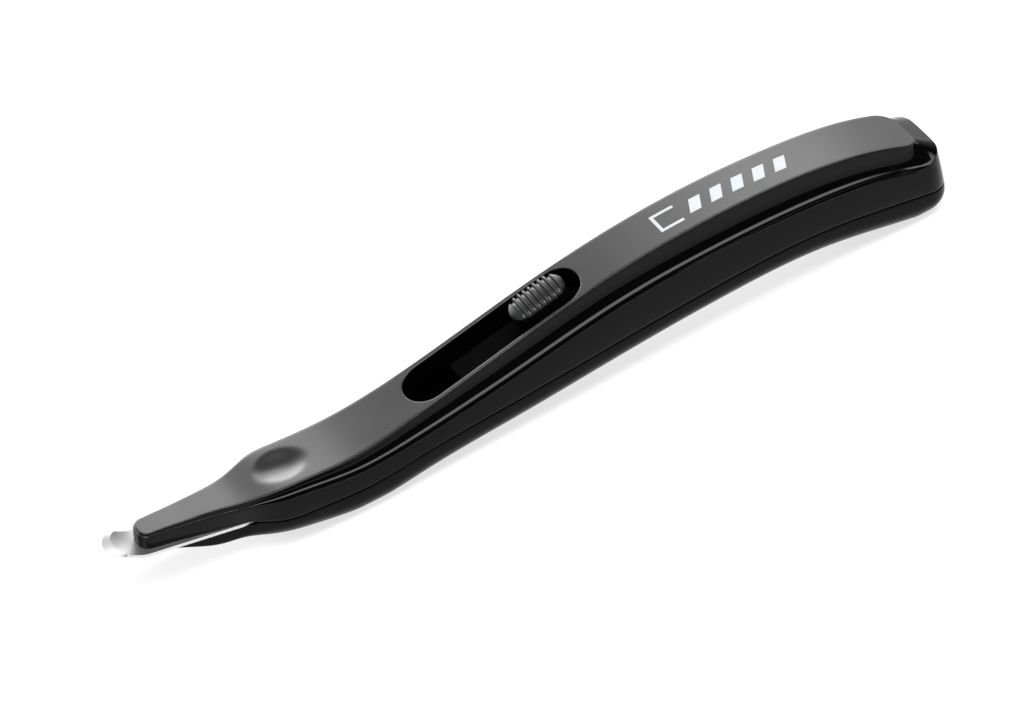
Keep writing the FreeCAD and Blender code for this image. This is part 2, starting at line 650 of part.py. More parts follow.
def build_lower_casing():
    body = new_body("lower_casing")
    names = list(STATIONS)[1:]
    outer = [tray_section(body, "tray_" + s, s) for s in names]
    loft(body, outer, "tray")
    inner = [tray_hollow_section(body, "hollow_" + s, s) for s in names[names.index("neck"):-1]]
    loft(body, inner, "hollow", "Subtractive", ruled=True)
    # pillars that carry the screws; the front one also passes through the blade
    for name in ("front", "rear"):
        x_name = name + "_screw_x"
        floor = size(name + "_floor_z")
        split = size(name + "_split_z")
        round_feature(body, name + "_base", x_name, "pillar_base", floor,
                      size(name + "_base_z") - floor, pad)
        round_feature(body, name + "_pillar", x_name, "pillar", floor, split - floor, pad)
        round_feature(body, name + "_well", x_name, "head_well", 0.0, size(name + "_seat_z"),
                      cut, reverse=True)
        round_feature(body, name + "_shank", x_name, "shank_hole", 0.0, BEYOND, cut,
                      reverse=True)
    # channel for the blade, open to the front
    thick = size("blade_thick") / math.cos(math.radians(size("blade_slope")))
    front, rear = blade_face_line(thick)
    sk = Outline(body, "blade_channel_side", "XZ_Plane").polygon([
        front, rear, (rear[0], BEYOND), (front[0], BEYOND)])
    cut(body, sk, "blade_channel", 2 * size("blade_slot_half"), both=True)
    # locating peg through the blade
    round_feature(body, "peg", "peg_x", "peg_round", size("peg_foot_z"), size("peg_height"), pad)
    # rear end wall with a round lower edge
    end = size("rear_seam_x")
    radius = size("rear_under_round")
    low = -2 * radius
    outline = Outline(body, "rear_side", "XZ_Plane")
    sk = outline.sketch
    corner = Part.ArcOfCircle(Part.Circle(V(end - radius, radius, 0), V(0, 0, 1), radius),
                              1.5 * math.pi, 2 * math.pi)
    points = [V(end, radius, 0), V(end, BEYOND, 0), V(BEYOND, BEYOND, 0), V(BEYOND, low, 0),
              V(end - radius, low, 0), V(end - radius, 0, 0)]
    sk.addGeometry(corner)
    for a, b in zip(points[:-1], points[1:]):
        sk.addGeometry(Part.LineSegment(a, b))
    outline.join([(0, 2, 1, 1)] + [(i, 2, i + 1, 1) for i in range(1, 5)] + [(5, 2, 0, 1)])
    outline.fix(0, 3, end - radius, radius,
                "dims.rear_seam_x - dims.rear_under_round", "dims.rear_under_round")
    outline.fix(0, 2, end, radius, "dims.rear_seam_x", "dims.rear_under_round")
    sk.addConstraint(Sketcher.Constraint("Vertical", 0, 3, 0, 1))
    for i in range(2, 6):
        outline.fix(i, 1, points[i - 1].x, points[i - 1].y)
    cut(body, sk, "rear_face", BEYOND, both=True)
    round_corners(body, "rear_corners", end, size("rear_half"), size("rear_corner"), 1)
    round_corners(body, "tongue_corners", size("nose_middle_x"), size("nose_middle_seam_half"),
                  size("tongue_corner"), -1)
    # two coplanar feet: the belly and the rear end
    sk = Outline(body, "ground_side", "XZ_Plane").polygon([
        (-BEYOND, 0.0), (BEYOND, 0.0), (BEYOND, low), (-BEYOND, low)])
    cut(body, sk, "ground", BEYOND, both=True)
    return body


def build_blade():
    body = new_body("blade")
    top = blade_axis(True)
    low = blade_axis(False)
    outline = Outline(body, "side", "XZ_Plane")
    sk = outline.sketch

    def arc(name_a, name_mid, name_b, side):
        return Part.Arc(side[name_a], side[name_mid], side[name_b])

    line = Part.LineSegment
    sk.addGeometry(line(low["tip"], top["tip"]))
    sk.addGeometry(line(top["tip"], top["lip_start"]))
    sk.addGeometry(arc("lip_start", "tip_mid", "tip_start", top))
    sk.addGeometry(line(top["tip_start"], top["bend_start"]))
    sk.addGeometry(arc("bend_start", "bend_mid", "bend_end", top))
    sk.addGeometry(line(top["bend_end"], top["tail_end"]))
    sk.addGeometry(line(top["tail_end"], low["tail_end"]))
    sk.addGeometry(line(low["tail_end"], low["bend_end"]))
    sk.addGeometry(arc("bend_start", "bend_mid", "bend_end", low))
    sk.addGeometry(line(low["bend_start"], low["tip_start"]))
    sk.addGeometry(arc("lip_start", "tip_mid", "tip_start", low))
    sk.addGeometry(line(low["lip_start"], low["tip"]))
    # the curves of both faces come from the same formulas, so they are held still
    for index in range(sk.GeometryCount):
        sk.addConstraint(Sketcher.Constraint("Block", index))
    pad(body, sk, "strip", 2 * size("blade_body_half"), both=True,
        expression="2 * dims.blade_body_half")
    # plan outline: narrow spoon, wider root, narrow tail
    tip_x = top["tip"].x
    tip_half = size("blade_tip_half")
    body_half = size("blade_body_half")
    tail_half = size("blade_tail_half")
    corner = size("blade_corner")
    bulge = size("blade_bulge")
    side = [
        V(tip_x + corner, tip_half, 0),
        V(size("blade_neck_front"), tip_half, 0),
        V(size("blade_neck_rear"), body_half, 0),
        V(size("blade_waist_front"), body_half, 0),
        V(size("blade_waist_rear"), tail_half, 0),
        V(0, tail_half, 0),
    ]
    # the tip: a slightly bulging front edge between two rounded corners
    edge_y = tip_half - corner + bulge
    corner_mid = V(tip_x + bulge * 1.75, tip_half - bulge * 1.95, 0)

    def other(p):
        return V(p.x, -p.y, 0)

    edge = V(tip_x + bulge, edge_y, 0)
    shape = [
        Part.Arc(edge, V(tip_x, 0, 0), other(edge)),
        Part.Arc(other(edge), other(corner_mid), other(side[0])),
        Part.LineSegment(other(side[-1]), side[-1]),
        Part.Arc(side[0], corner_mid, edge),
    ]
    for a, b in zip(side[:-1], side[1:]):
        shape.append(Part.LineSegment(other(a), other(b)))
        shape.append(Part.LineSegment(b, a))
    far = [V(-BEYOND, -BEYOND, 0), V(BEYOND, -BEYOND, 0),
           V(BEYOND, BEYOND, 0), V(-BEYOND, BEYOND, 0)]
    for a, b in zip(far, far[1:] + far[:1]):
        shape.append(Part.LineSegment(a, b))
    sk = Outline(body, "plan", "XY_Plane").sketch
    for item in shape:
        index = sk.addGeometry(item)
        sk.addConstraint(Sketcher.Constraint("Block", index))
    cut(body, sk, "trim", BEYOND, both=True)
    # ground bevel on the upper face at the tip
    tip = top["tip"]
    direction = (top["lip_start"] - tip).normalize()
    normal = V(-direction.y, direction.x, 0)
    if normal.y < 0:
        normal = normal * -1.0
    thick = size("blade_thick")
    before, above = 0.4, 0.12
    low_front = tip - direction * before - normal * (size("bevel_share") * thick)
    rear = tip + direction * size("bevel_length") + normal * above
    corners = (low_front, rear, rear + normal * 2 * thick, low_front + normal * 4 * thick)
    sk = Outline(body, "bevel_side", "XZ_Plane").polygon([(p.x, p.y) for p in corners])
    cut(body, sk, "bevel", BEYOND, both=True)
    # holes for the pillar and the peg
    holes = (("pillar_hole", "front_screw_x", "pillar", "pillar_clear"),
             ("peg_hole", "peg_x", "peg_round", "peg_clear"))
    for name, x_name, width, clear in holes:
        sk = Outline(body, name + "_plan", "XY_Plane").circle(
            size(x_name), 0.0, size(width) / 2.0 + size(clear), dim(x_name),
            "%s / 2 + %s" % (dim(width), dim(clear)))
        cut(body, sk, name, BEYOND, both=True)
    return body


def place_on_slide(obj):
    turn = FreeCAD.Rotation(V(0, 1, 0), -size("slide_tilt"))
    obj.Placement = FreeCAD.Placement(
        V(size("slide_origin_x"), 0, size("slide_origin_z")), turn)


def build_slide_button():
    body = new_body("slide_button")
    x = size("button_x")
    outline = Outline(body, "plan", "XY_Plane").shift(z=-size("button_skirt"))
    sk = outline.stadium(x, size("button_length"), size("button_width"),
                         ("dims.button_x", "button_length", "button_width"))
    block = pad(body, sk, "block", size("button_skirt") + size("button_crown"),
                expression="dims.button_skirt + dims.button_crown")
    top_edges = ["Edge%d" % (i + 1) for i, e in enumerate(block.Shape.Edges)
                 if all(abs(v.Z - size("button_crown")) < 1e-6 for v in e.Vertexes)]
    rounding = body.newObject("PartDesign::Fillet", "crown_round")
    rounding.Base = (block, top_edges)
    rounding.Radius = size("crown_round")
    rounding.setExpression("Radius", "dims.crown_round")
    finish(body, rounding)
    # finger grooves across the top
    crown = size("button_crown")
    depth = size("groove_depth")
    count = int(size("groove_count"))
    pitch = size("groove_pitch")
    first = x - pitch * (count - 1) / 2.0
    mouth = size("groove_mouth")
    floor = size("groove_floor")
    above = 0.1
    sk = Outline(body, "groove_side", "XZ_Plane").polygon([
        (first - mouth, crown + above), (first - floor, crown - depth),
        (first + floor, crown - depth), (first + mouth, crown + above)])
    groove = cut(body, sk, "groove", 2 * size("button_width"), both=True)
    pattern = body.newObject("PartDesign::LinearPattern", "grooves")
    pattern.Originals = [groove]
    axis = [f for f in body.Origin.OriginFeatures if f.Role == "X_Axis"][0]
    pattern.Direction = (axis, [""])
    pattern.Length = pitch * (count - 1)
    pattern.Occurrences = count
    pattern.setExpression("Length", "dims.groove_pitch * (dims.groove_count - 1)")
    finish(body, pattern)
    # socket for the carriage's neck
    sk = Outline(body, "socket_plan", "XY_Plane").shift(z=-size("button_skirt")).stadium(
        x, size("neck_length"), size("neck_width"),
        ("dims.button_x", "neck_length", "neck_width"))
    cut(body, sk, "socket", size("button_skirt") + size("neck_top"), reverse=True)
    place_on_slide(body)
    return body


def build_slide_carriage():
    body = new_body("slide_carriage")
    x = size("button_x")
    half = size("deck_half")
    deck_bottom = size("deck_top") - size("deck_thick")
    front = size("deck_front")
    rear = size("deck_rear")
    outline = Outline(body, "deck_plan", "XY_Plane").shift(z=deck_bottom)
    sk = outline.polygon([
        (front, -half, "dims.deck_front", "-dims.deck_half"),
        (rear, -half, "dims.deck_rear", "-dims.deck_half"),
        (rear, half, "dims.deck_rear", "dims.deck_half"),
        (front, half, "dims.deck_front", "dims.deck_half")])
    pad(body, sk, "deck", size("deck_thick"), expression="dims.deck_thick")
    sk = Outline(body, "neck_plan", "XY_Plane").shift(z=deck_bottom).stadium(
        x, size("neck_length"), size("neck_width"),
        ("dims.button_x", "neck_length", "neck_width"))
    pad(body, sk, "neck", size("neck_top") - deck_bottom)
    # open-bottomed holder for the magnet at the front of the deck
    holder = size("holder_length")
    wide = size("holder_width") / 2.0
    sk = Outline(body, "holder_plan", "XY_Plane").shift(z=deck_bottom).polygon([
        (front, -wide, "dims.deck_front", "-dims.holder_width / 2"),
        (front + holder, -wide, "dims.deck_front + dims.holder_length", "-dims.holder_width / 2"),
        (front + holder, wide, "dims.deck_front + dims.holder_length", "dims.holder_width / 2"),
        (front, wide, "dims.deck_front", "dims.holder_width / 2")])
    pad(body, sk, "holder", deck_bottom - size("holder_bottom"), reverse=True)
    mid = front + holder / 2.0
    long_half = size("magnet_length") / 2.0
    wide_half = size("magnet_width") / 2.0
    sk = Outline(body, "pocket_plan", "XY_Plane").shift(z=size("holder_bottom")).polygon([
        (mid - long_half, -wide_half), (mid + long_half, -wide_half),
        (mid + long_half, wide_half), (mid - long_half, wide_half)])
    depth = size("magnet_bottom") + size("magnet_thick") - size("holder_bottom")
    cut(body, sk, "pocket", depth, reverse=True)
    # springy arms at the rear of the deck, freed by two slits
    arm = size("arm_width")
    slit = size("arm_slit")
    arm_length = size("arm_length")
    outline = Outline(body, "slit_plan", "XY_Plane").shift(z=deck_bottom - slit)
    for side in (1, -1):
        low = side * (half - arm - slit)
        high = side * (half - arm)
        outline.polygon([(rear - arm_length, low), (rear + slit, low),
                         (rear + slit, high), (rear - arm_length, high)])
    cut(body, outline.sketch, "slits", size("deck_thick") + 2 * slit, reverse=True)
    place_on_slide(body)
    return body


def build_magnet():
    magnet = doc.addObject("Part::Box", "magnet")
    magnet.Label = "magnet"
    magnet.setExpression("Length", "dims.magnet_length")
    magnet.setExpression("Width", "dims.magnet_width")
    magnet.setExpression("Height", "dims.magnet_thick")
    turn = FreeCAD.Rotation(V(0, 1, 0), -size("slide_tilt"))
    mid = size("deck_front") + size("holder_length") / 2.0
    corner = V(mid - size("magnet_length") / 2.0, -size("magnet_width") / 2.0,
               size("magnet_bottom"))
    base = V(size("slide_origin_x"), 0, size("slide_origin_z"))
    magnet.Placement = FreeCAD.Placement(base + turn.multVec(corner), turn)
    return magnet


def build_screws():
    """Two identical self-tapping screws, driven up from below."""
    parts = []
    for name in ("front", "rear"):
        x = size(name + "_screw_x")
        seat = size(name + "_seat_z")
        body = new_body(name + "_screw_body")
        x_name = name + "_screw_x"
        thick = size("screw_head_thick")
        head_bottom = seat - thick
        round_feature(body, name + "_head", x_name, "screw_head", head_bottom, thick, pad,
                      expression="dims.screw_head_thick")
        round_feature(body, name + "_thread", x_name, "screw_shank", head_bottom,
                      thick + size("screw_length"), pad)
        # cross recess in the head
        outline = Outline(body, name + "_cross_plan", "XY_Plane").shift(z=head_bottom)
        arm = size("cross_reach")
        thin = size("cross_half")
        outline.polygon([
            (x - arm, -thin), (x - thin, -thin), (x - thin, -arm), (x + thin, -arm),
            (x + thin, -thin), (x + arm, -thin), (x + arm, thin), (x + thin, thin),
            (x + thin, arm), (x - thin, arm), (x - thin, thin), (x - arm, thin)])
        cut(body, outline.sketch, name + "_cross", size("cross_depth"), reverse=True)
        parts.append(body)
    group = doc.addObject("Part::Compound", "casing_screws")
    group.Label = "casing_screws"
    group.Links = parts
    return group


# --------------------------------------------------------------------- build

nodes = [
    build_upper_casing(),
    build_lower_casing(),
    build_blade(),
    build_slide_button(),
    build_slide_carriage(),
    build_magnet(),
    build_screws(),
]
doc.recompute()

for obj in doc.Objects:
    if "Invalid" in obj.State or "Error" in obj.State:
        raise RuntimeError("%s is in state %s" % (obj.Label, obj.State))

os.makedirs("parts", exist_ok=True)
for node in nodes:
    if node.Shape.isNull() or not node.Shape.isValid():
        raise RuntimeError("%s has no valid shape" % node.Label)
    node.Shape.exportStep(os.path.join("parts", node.Label + ".step"))
    box = node.Shape.optimalBoundingBox()
    print("%-16s solids %d volume %.1f  x %.2f..%.2f y %.2f..%.2f z %.2f..%.2f" % (
        node.Label, len(node.Shape.Solids), node.Shape.Volume,
        box.XMin, box.XMax, box.YMin, box.YMax, box.ZMin, box.ZMax))
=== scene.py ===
import math
import bmesh
import bpy
from mathutils import Matrix, Vector


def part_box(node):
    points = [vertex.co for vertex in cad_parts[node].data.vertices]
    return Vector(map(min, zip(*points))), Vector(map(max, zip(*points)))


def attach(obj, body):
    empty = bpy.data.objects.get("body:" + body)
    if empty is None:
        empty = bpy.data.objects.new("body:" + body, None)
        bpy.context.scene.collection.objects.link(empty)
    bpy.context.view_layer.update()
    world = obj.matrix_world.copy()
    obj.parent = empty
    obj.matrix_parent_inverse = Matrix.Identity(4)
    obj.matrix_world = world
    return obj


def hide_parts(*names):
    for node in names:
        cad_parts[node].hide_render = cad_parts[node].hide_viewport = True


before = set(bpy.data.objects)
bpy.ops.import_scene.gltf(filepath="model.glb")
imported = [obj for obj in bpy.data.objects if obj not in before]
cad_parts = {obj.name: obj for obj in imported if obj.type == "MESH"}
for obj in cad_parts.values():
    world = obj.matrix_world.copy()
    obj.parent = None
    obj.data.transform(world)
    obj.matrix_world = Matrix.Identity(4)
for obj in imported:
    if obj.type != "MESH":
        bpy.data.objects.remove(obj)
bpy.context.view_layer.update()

MM = 0.001

# ------------------------------------------------------------ handle's curves
# Millimetres in the shared frame: nose at -X, rear end at +X, table at Z = 0.
# x, flat top's half width and height, crease's half width and height,
# seam's half width and height, underside's height and edge radius
STATIONS = (
    (-73.95, 2.15, 14.0, 2.5, 13.55, 2.4, 10.8, 10.4, 0.2),
    (-70.05, 2.3, 13.6, 2.65, 13.0, 2.55, 9.95, 8.75, 0.3),
    (-65.8, 2.62, 13.05, 2.9, 12.3, 2.75, 9.05, 6.35, 0.6),
    (-61.55, 3.0, 12.55, 3.25, 11.65, 3.05, 8.1, 4.35, 0.9),
    (-56.55, 3.95, 11.95, 4.2, 10.9, 3.7, 7.35, 3.05, 1.8),
    (-54.05, 4.65, 12.0, 5.4, 10.9, 5.25, 7.1, 2.6, 2.8),
    (-51.55, 5.35, 12.15, 6.6, 10.9, 6.8, 6.95, 2.2, 3.8),
    (-45.55, 5.75, 11.85, 7.5, 10.2, 7.85, 6.6, 1.15, 4.2),
    (-36.55, 5.75, 11.25, 7.6, 8.95, 8.1, 5.9, -0.1, 4.0),
    (-25.55, 5.4, 12.35, 7.6, 9.35, 8.1, 6.6, 0.75, 4.0),
    (-5.55, 5.15, 16.35, 7.65, 12.15, 8.15, 7.8, 2.2, 4.0),
    (14.45, 5.0, 20.1, 7.65, 15.3, 8.15, 9.0, 3.65, 4.0),
    (35.45, 5.0, 21.6, 7.65, 16.3, 8.2, 10.05, 4.65, 4.0),
    (54.45, 4.95, 20.6, 7.65, 15.35, 8.2, 9.65, 3.85, 4.0),
    (69.45, 5.2, 17.4, 7.65, 12.75, 8.15, 7.1, 0.7, 4.0),
    (81.45, 5.4, 12.2, 7.65, 8.4, 8.1, 4.6, -1.9, 4.0),
)


def spline(xs, ys):
    """Natural cubic spline through the points, as a function of x."""
    count = len(xs)
    steps = [xs[i + 1] - xs[i] for i in range(count - 1)]
    lower = [0.0] * count
    right = [0.0] * count
    for i in range(1, count - 1):
        slope_change = (ys[i + 1] - ys[i]) / steps[i] - (ys[i] - ys[i - 1]) / steps[i - 1]
        pivot = 2.0 * (steps[i - 1] + steps[i]) - steps[i - 1] * lower[i - 1]
        lower[i] = steps[i] / pivot
        right[i] = (6.0 * slope_change - steps[i - 1] * right[i - 1]) / pivot
    second = [0.0] * count
    for i in range(count - 2, 0, -1):
        second[i] = right[i] - lower[i] * second[i + 1]

    def value(x):
        i = 0
        while i < count - 2 and x > xs[i + 1]:
            i += 1
        width = steps[i]
        a = (xs[i + 1] - x) / width
        b = (x - xs[i]) / width
        bend = ((a ** 3 - a) * second[i] + (b ** 3 - b) * second[i + 1]) * width * width / 6.0
        return a * ys[i] + b * ys[i + 1] + bend

    return value


columns = list(zip(*STATIONS))
top_half, top_z, crease_half, crease_z, seam_half, seam_z, under_z, under_round = [
    spline(columns[0], column) for column in columns[1:]]


def lerp(a, b, f):
    return a + (b - a) * f


def smooth(low, high, x):
    f = min(1.0, max(0.0, (x - low) / (high - low)))
    return f * f * (3.0 - 2.0 * f)


# slide's own frame: origin in the middle of the slot, on the flat top
TILT = math.radians(11.2)
SLIDE_X, SLIDE_Z = -5.6, 16.45
SLOT_HALF_LENGTH, SLOT_RADIUS = 17.7, 4.25
SLOT_DEPTH = 5.3
SLOT_EDGE = 0.22
REACH = SLOT_HALF_LENGTH - SLOT_RADIUS


def from_slide(x, y, z):
    return Vector((SLIDE_X + x * math.cos(TILT) - z * math.sin(TILT), y,
                   SLIDE_Z + x * math.sin(TILT) + z * math.cos(TILT)))


def to_slide_z(x, z):
    return -(x - SLIDE_X) * math.sin(TILT) + (z - SLIDE_Z) * math.cos(TILT)


# ------------------------------------------------------------- blade's curves
BLADE_SLOPE = math.radians(13.2)
BLADE_X, BLADE_Z = -56.1, 6.9
BLADE_THICK = 0.6
TIP_START_X, TIP_RADIUS = -74.0, 9.0
TIP_TURN = BLADE_SLOPE + math.radians(11.0)
TIP_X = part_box("blade")[0][0] / MM
# behind the neck: an arc, then the straight tail along the slide
BEND_START_X, BEND_END_X, BEND_RADIUS = -42.86, -25.95, 40.0
BEND_CENTRE_X, BEND_CENTRE_Z = -33.73, 42.74
TAIL_Z, TAIL_SLOPE = 7.53, 0.198


def blade_top(x):
    """Height of the blade's upper face along its middle."""
    start_z = BLADE_Z - math.tan(BLADE_SLOPE) * (TIP_START_X - BLADE_X)
    if x >= BEND_END_X:
        return TAIL_Z + TAIL_SLOPE * (x - SLIDE_X)
    if x >= BEND_START_X:
        return BEND_CENTRE_Z - math.sqrt(BEND_RADIUS ** 2 - (x - BEND_CENTRE_X) ** 2)
    if x >= TIP_START_X:
        return BLADE_Z - math.tan(BLADE_SLOPE) * (x - BLADE_X)
    run = TIP_START_X - x
    turned = math.sin(BLADE_SLOPE) + run / TIP_RADIUS
    limit = math.sin(TIP_TURN)
    if turned < limit:
        return start_z + TIP_RADIUS * (math.cos(BLADE_SLOPE) - math.sqrt(1 - turned * turned))
    arc_run = TIP_RADIUS * (limit - math.sin(BLADE_SLOPE))
    arc_rise = TIP_RADIUS * (math.cos(BLADE_SLOPE) - math.cos(TIP_TURN))
    return start_z + arc_rise + (run - arc_run) * math.tan(TIP_TURN)


def blade_drop(x):
    """Vertical thickness of the blade at x."""
    if x >= TIP_START_X:
        return BLADE_THICK / math.cos(BLADE_SLOPE)
    turned = min(math.sin(TIP_TURN), math.sin(BLADE_SLOPE) + (TIP_START_X - x) / TIP_RADIUS)
    return BLADE_THICK / math.sqrt(1 - turned * turned)


# ------------------------------------------------------------- mesh from rings
NOSE_X = -73.95
SIDE_STEP = 0.8
ARC_STEPS = 14
REAR_STEPS, CORNER_STEPS, NOSE_STEPS = 8, 10, 8


def slot_station(kind, value):
    return {"kind": kind, "value": value}


def slot_point(station, offset):
    """Point of the slot's outline, moved outwards, in the slide's own frame."""
    kind, value = station["kind"], station["value"]
    radius = SLOT_RADIUS + offset
    if kind == "side":
        return value, radius
    end = 1.0 if kind == "rear" else -1.0
    return end * (REACH + radius * math.sin(value)), radius * math.cos(value)


def make_stations():
    """Stations along one side, rear to nose: the slot's points and even steps elsewhere."""
    slot = [slot_station("rear", math.pi / 2 * (1 - i / ARC_STEPS)) for i in range(ARC_STEPS)]
    count = round(2 * REACH / SIDE_STEP)
    slot += [slot_station("side", REACH - 2 * REACH * i / count) for i in range(count + 1)]
    slot += [slot_station("front", math.pi / 2 * (i + 1) / ARC_STEPS) for i in range(ARC_STEPS)]
    for station in slot:
        x, y = slot_point(station, SLOT_EDGE)
        station["x"] = from_slide(x, 0.0, -0.1)[0]
        station["y"] = y
    return slot


SLOT_STATIONS = make_stations()
PANEL_REAR, PANEL_NOSE = 72.4, -72.25


def even(a, b):
    count = max(1, round(abs(b - a) / SIDE_STEP))
    return [lerp(a, b, i / count) for i in range(count)]


side_x = [(x, None) for x in even(PANEL_REAR, SLOT_STATIONS[0]["x"])]
side_x += [(station["x"], station) for station in SLOT_STATIONS]
side_x += [(x, None) for x in even(SLOT_STATIONS[-1]["x"], PANEL_NOSE)[1:]] + [(PANEL_NOSE, None)]
SIDE = [((PANEL_REAR - x) / (PANEL_REAR - PANEL_NOSE), station) for x, station in side_x]


def half_loop(half, rear, rear_round, nose, nose_round, bulge=0.0):
    """(x, y) points of one side of a plan outline, from the rear's middle to the nose's."""
    points = []
    rear_side = rear - bulge - rear_round
    wide = half(rear_side)
    flat = wide - rear_round
    for i in range(REAR_STEPS):
        y = flat * i / REAR_STEPS
        points.append((rear - bulge * (y / wide) ** 2, y))
    for i in range(CORNER_STEPS):
        turn = math.pi / 2 * i / CORNER_STEPS
        x = rear - bulge * (flat / wide) ** 2 - rear_round + rear_round * math.cos(turn)
        x = lerp(x, rear_side + rear_round * math.cos(turn), i / CORNER_STEPS)
        points.append((x, flat + rear_round * math.sin(turn)))
    nose_side = nose + nose_round
    for f, _ in SIDE:
        x = lerp(rear_side, nose_side, f)
        points.append((x, half(x)))
    tight = half(nose_side)
    radius_y = min(nose_round, tight)
    for i in range(1, CORNER_STEPS + 1):
        turn = math.pi / 2 * i / CORNER_STEPS
        points.append((nose_side - nose_round * math.sin(turn),
                       tight - radius_y + radius_y * math.cos(turn)))
    flat = tight - radius_y
    for i in range(1, NOSE_STEPS + 1):
        points.append((nose, flat * (1 - i / NOSE_STEPS)))
    return points


def full_loop(points):
    return points + [(x, -y) for x, y in reversed(points[1:-1])]


def ring(points, height):
    return [Vector((x, y, height(x, y))) for x, y in full_loop(points)]


def quads_between(bm, rings):
    """Join rings of equal length into a strip of quads."""
    layers = [[bm.verts.new(p * MM) for p in r] for r in rings]
    for lower, upper in zip(layers[:-1], layers[1:]):
        count = len(lower)
        for i in range(count):
            j = (i + 1) % count
            bm.faces.new((lower[i], lower[j], upper[j], upper[i]))
    return layers


def sweep(first, last, steps, law):
    """Rings between two rings; law(f) gives the fractions sideways and downwards."""
    rings = []
    for k in range(1, steps + 1):
        across, down = law(k / steps)
        rings.append([Vector((lerp(a.x, b.x, across), lerp(a.y, b.y, across),
                              lerp(a.z, b.z, down))) for a, b in zip(first, last)])
    return rings


def quarter(f):
    """A quarter of an ellipse that leaves straight down and arrives level."""
    turn = f * math.pi / 2
    return 1.0 - math.cos(turn), math.sin(turn)


# share of the rings on the hollow, its turn, and how far across and down it ends
HOLLOW_SHARE, HOLLOW_TURN = 0.85, 1.42
HOLLOW_ACROSS, HOLLOW_DOWN = 0.86, 0.98


def cove(f):
    """Hollow that leaves straight down and ends in a narrow, nearly level ledge."""
    if f > HOLLOW_SHARE:
        g = (f - HOLLOW_SHARE) / (1.0 - HOLLOW_SHARE)
        return lerp(HOLLOW_ACROSS, 1.0, g), lerp(HOLLOW_DOWN, 1.0, g)
    turn = f / HOLLOW_SHARE * HOLLOW_TURN
    return (HOLLOW_ACROSS * (1.0 - math.cos(turn)) / (1.0 - math.cos(HOLLOW_TURN)),
            HOLLOW_DOWN * math.sin(turn) / math.sin(HOLLOW_TURN))


def quarter_over(f):
    """A quarter of an ellipse that leaves level and arrives straight down."""
    turn = f * math.pi / 2
    return math.sin(turn), 1.0 - math.cos(turn)


def straight(f):
    return f, f


def close(bm):
    """Weld the strips and caps into one closed surface that faces outwards."""
    bmesh.ops.remove_doubles(bm, verts=bm.verts, dist=1e-6)
    bmesh.ops.dissolve_degenerate(bm, edges=bm.edges, dist=1e-9)
    bmesh.ops.recalc_face_normals(bm, faces=bm.faces)


SHARP_ANGLE = 32.0


def to_object(bm, name, angle=SHARP_ANGLE):
    mesh = bpy.data.meshes.new(name)
    bm.to_mesh(mesh)
    bm.free()
    obj = bpy.data.objects.new(name, mesh)
    bpy.context.collection.objects.link(obj)
    soften(mesh, angle)
    return obj


def soften(mesh, angle):
    """Smooth faces with sharp edges where the surface turns by more than the angle."""
    for polygon in mesh.polygons:
        polygon.use_smooth = True
    mesh.set_sharp_from_angle(angle=math.radians(angle))


def inner_spine(points, stations, rear_core, nose_core):
    """For each point of a plan outline, where its cross line ends: the middle or the slot."""
    spine = []
    for (x, y), station in zip(points, stations):
        if station is not None:
            spine.append((station["x"], station["y"]))
        else:
            spine.append((min(rear_core, max(nose_core, x)), 0.0))
    return spine


NO_STATIONS = [None] * (REAR_STEPS + CORNER_STEPS + len(SIDE) + CORNER_STEPS + NOSE_STEPS)
TOP_STATIONS = ([None] * (REAR_STEPS + CORNER_STEPS) + [s for _, s in SIDE]
                + [None] * (CORNER_STEPS + NOSE_STEPS))


def cap(bm, points, height, stations, rear_core, nose_core, steps):
    """Fill an outline with quads towards its middle line, or towards the slot."""
    spine = inner_spine(points, stations, rear_core, nose_core)
    rings = []
    for k in range(steps + 1):
        level = [(lerp(a[0], b[0], k / steps), lerp(a[1], b[1], k / steps))
                 for a, b in zip(points, spine)]
        rings.append(ring(level, height))
    quads_between(bm, rings)


# ------------------------------------------------------------- upper casing
# edge radii; the seam's edge is almost sharp along the nose
EDGE = 0.14
CREASE_EDGE = 0.16
SEAM_EDGE, NOSE_SEAM_EDGE = 0.1, 0.02
DIMPLE = {"x": -47.2, "half_length": 4.8, "half_width": 3.9, "depth": 0.9, "power": 1.25}
# front end: the flat top, the crease and the foot each reach a little further forward
NOSE_TOP_X, NOSE_CREASE_X, NOSE_FOOT_X = NOSE_X + 0.1, NOSE_X - 0.3, NOSE_X - 0.6
NOSE_FOOT_ROUND = 1.7
# rear end: where the flat top stops, the rim behind it, and the seam
REAR_TOP_X = 76.7
REAR_RIM_X, REAR_RIM_Z = 80.1, 12.0
REAR_X, REAR_CORNER = 80.25, 4.2
TOP_ROUND, TOP_NOSE_ROUND, CREASE_NOSE_ROUND = 3.0, 1.6, 2.0
ROUND_INSET = 0.1
BULGE = 0.3
RISE_START_X, RISE_END_X, LAST_CREASE_X = 72.5, 80.3, 76.5
SEAT_END_X = -47.0
COVE_STEPS, WALL_STEPS = 20, 10
WALL_SWELL, SWELL_START_X, SWELL_CLEAR_Y = 0.12, -51.0, 2.0


def crease_height(x, y=0.0):
    """The crease's height, which climbs to the rim across the rear end."""
    rise = smooth(RISE_START_X, RISE_END_X, x)
    return lerp(crease_z(min(x, LAST_CREASE_X)), REAR_RIM_Z, rise)


def dimple(x, y):
    """Depth of the shallow oval thumb rest."""
    r = math.hypot((x - DIMPLE["x"]) / DIMPLE["half_length"], y / DIMPLE["half_width"])
    if r >= 1.0:
        return 0.0
    return DIMPLE["depth"] * (1.0 - r * r) ** DIMPLE["power"]


def panel_height(x, y):
    return top_z(x) - dimple(x, y)


def shell_bottom(x, y=0.0):
    """Lower edge of the upper casing: the seam, or the blade's upper face in the nose."""
    if x > SEAT_END_X:
        return seam_z(x)
    return max(seam_z(x), blade_top(max(x, TIP_START_X)))


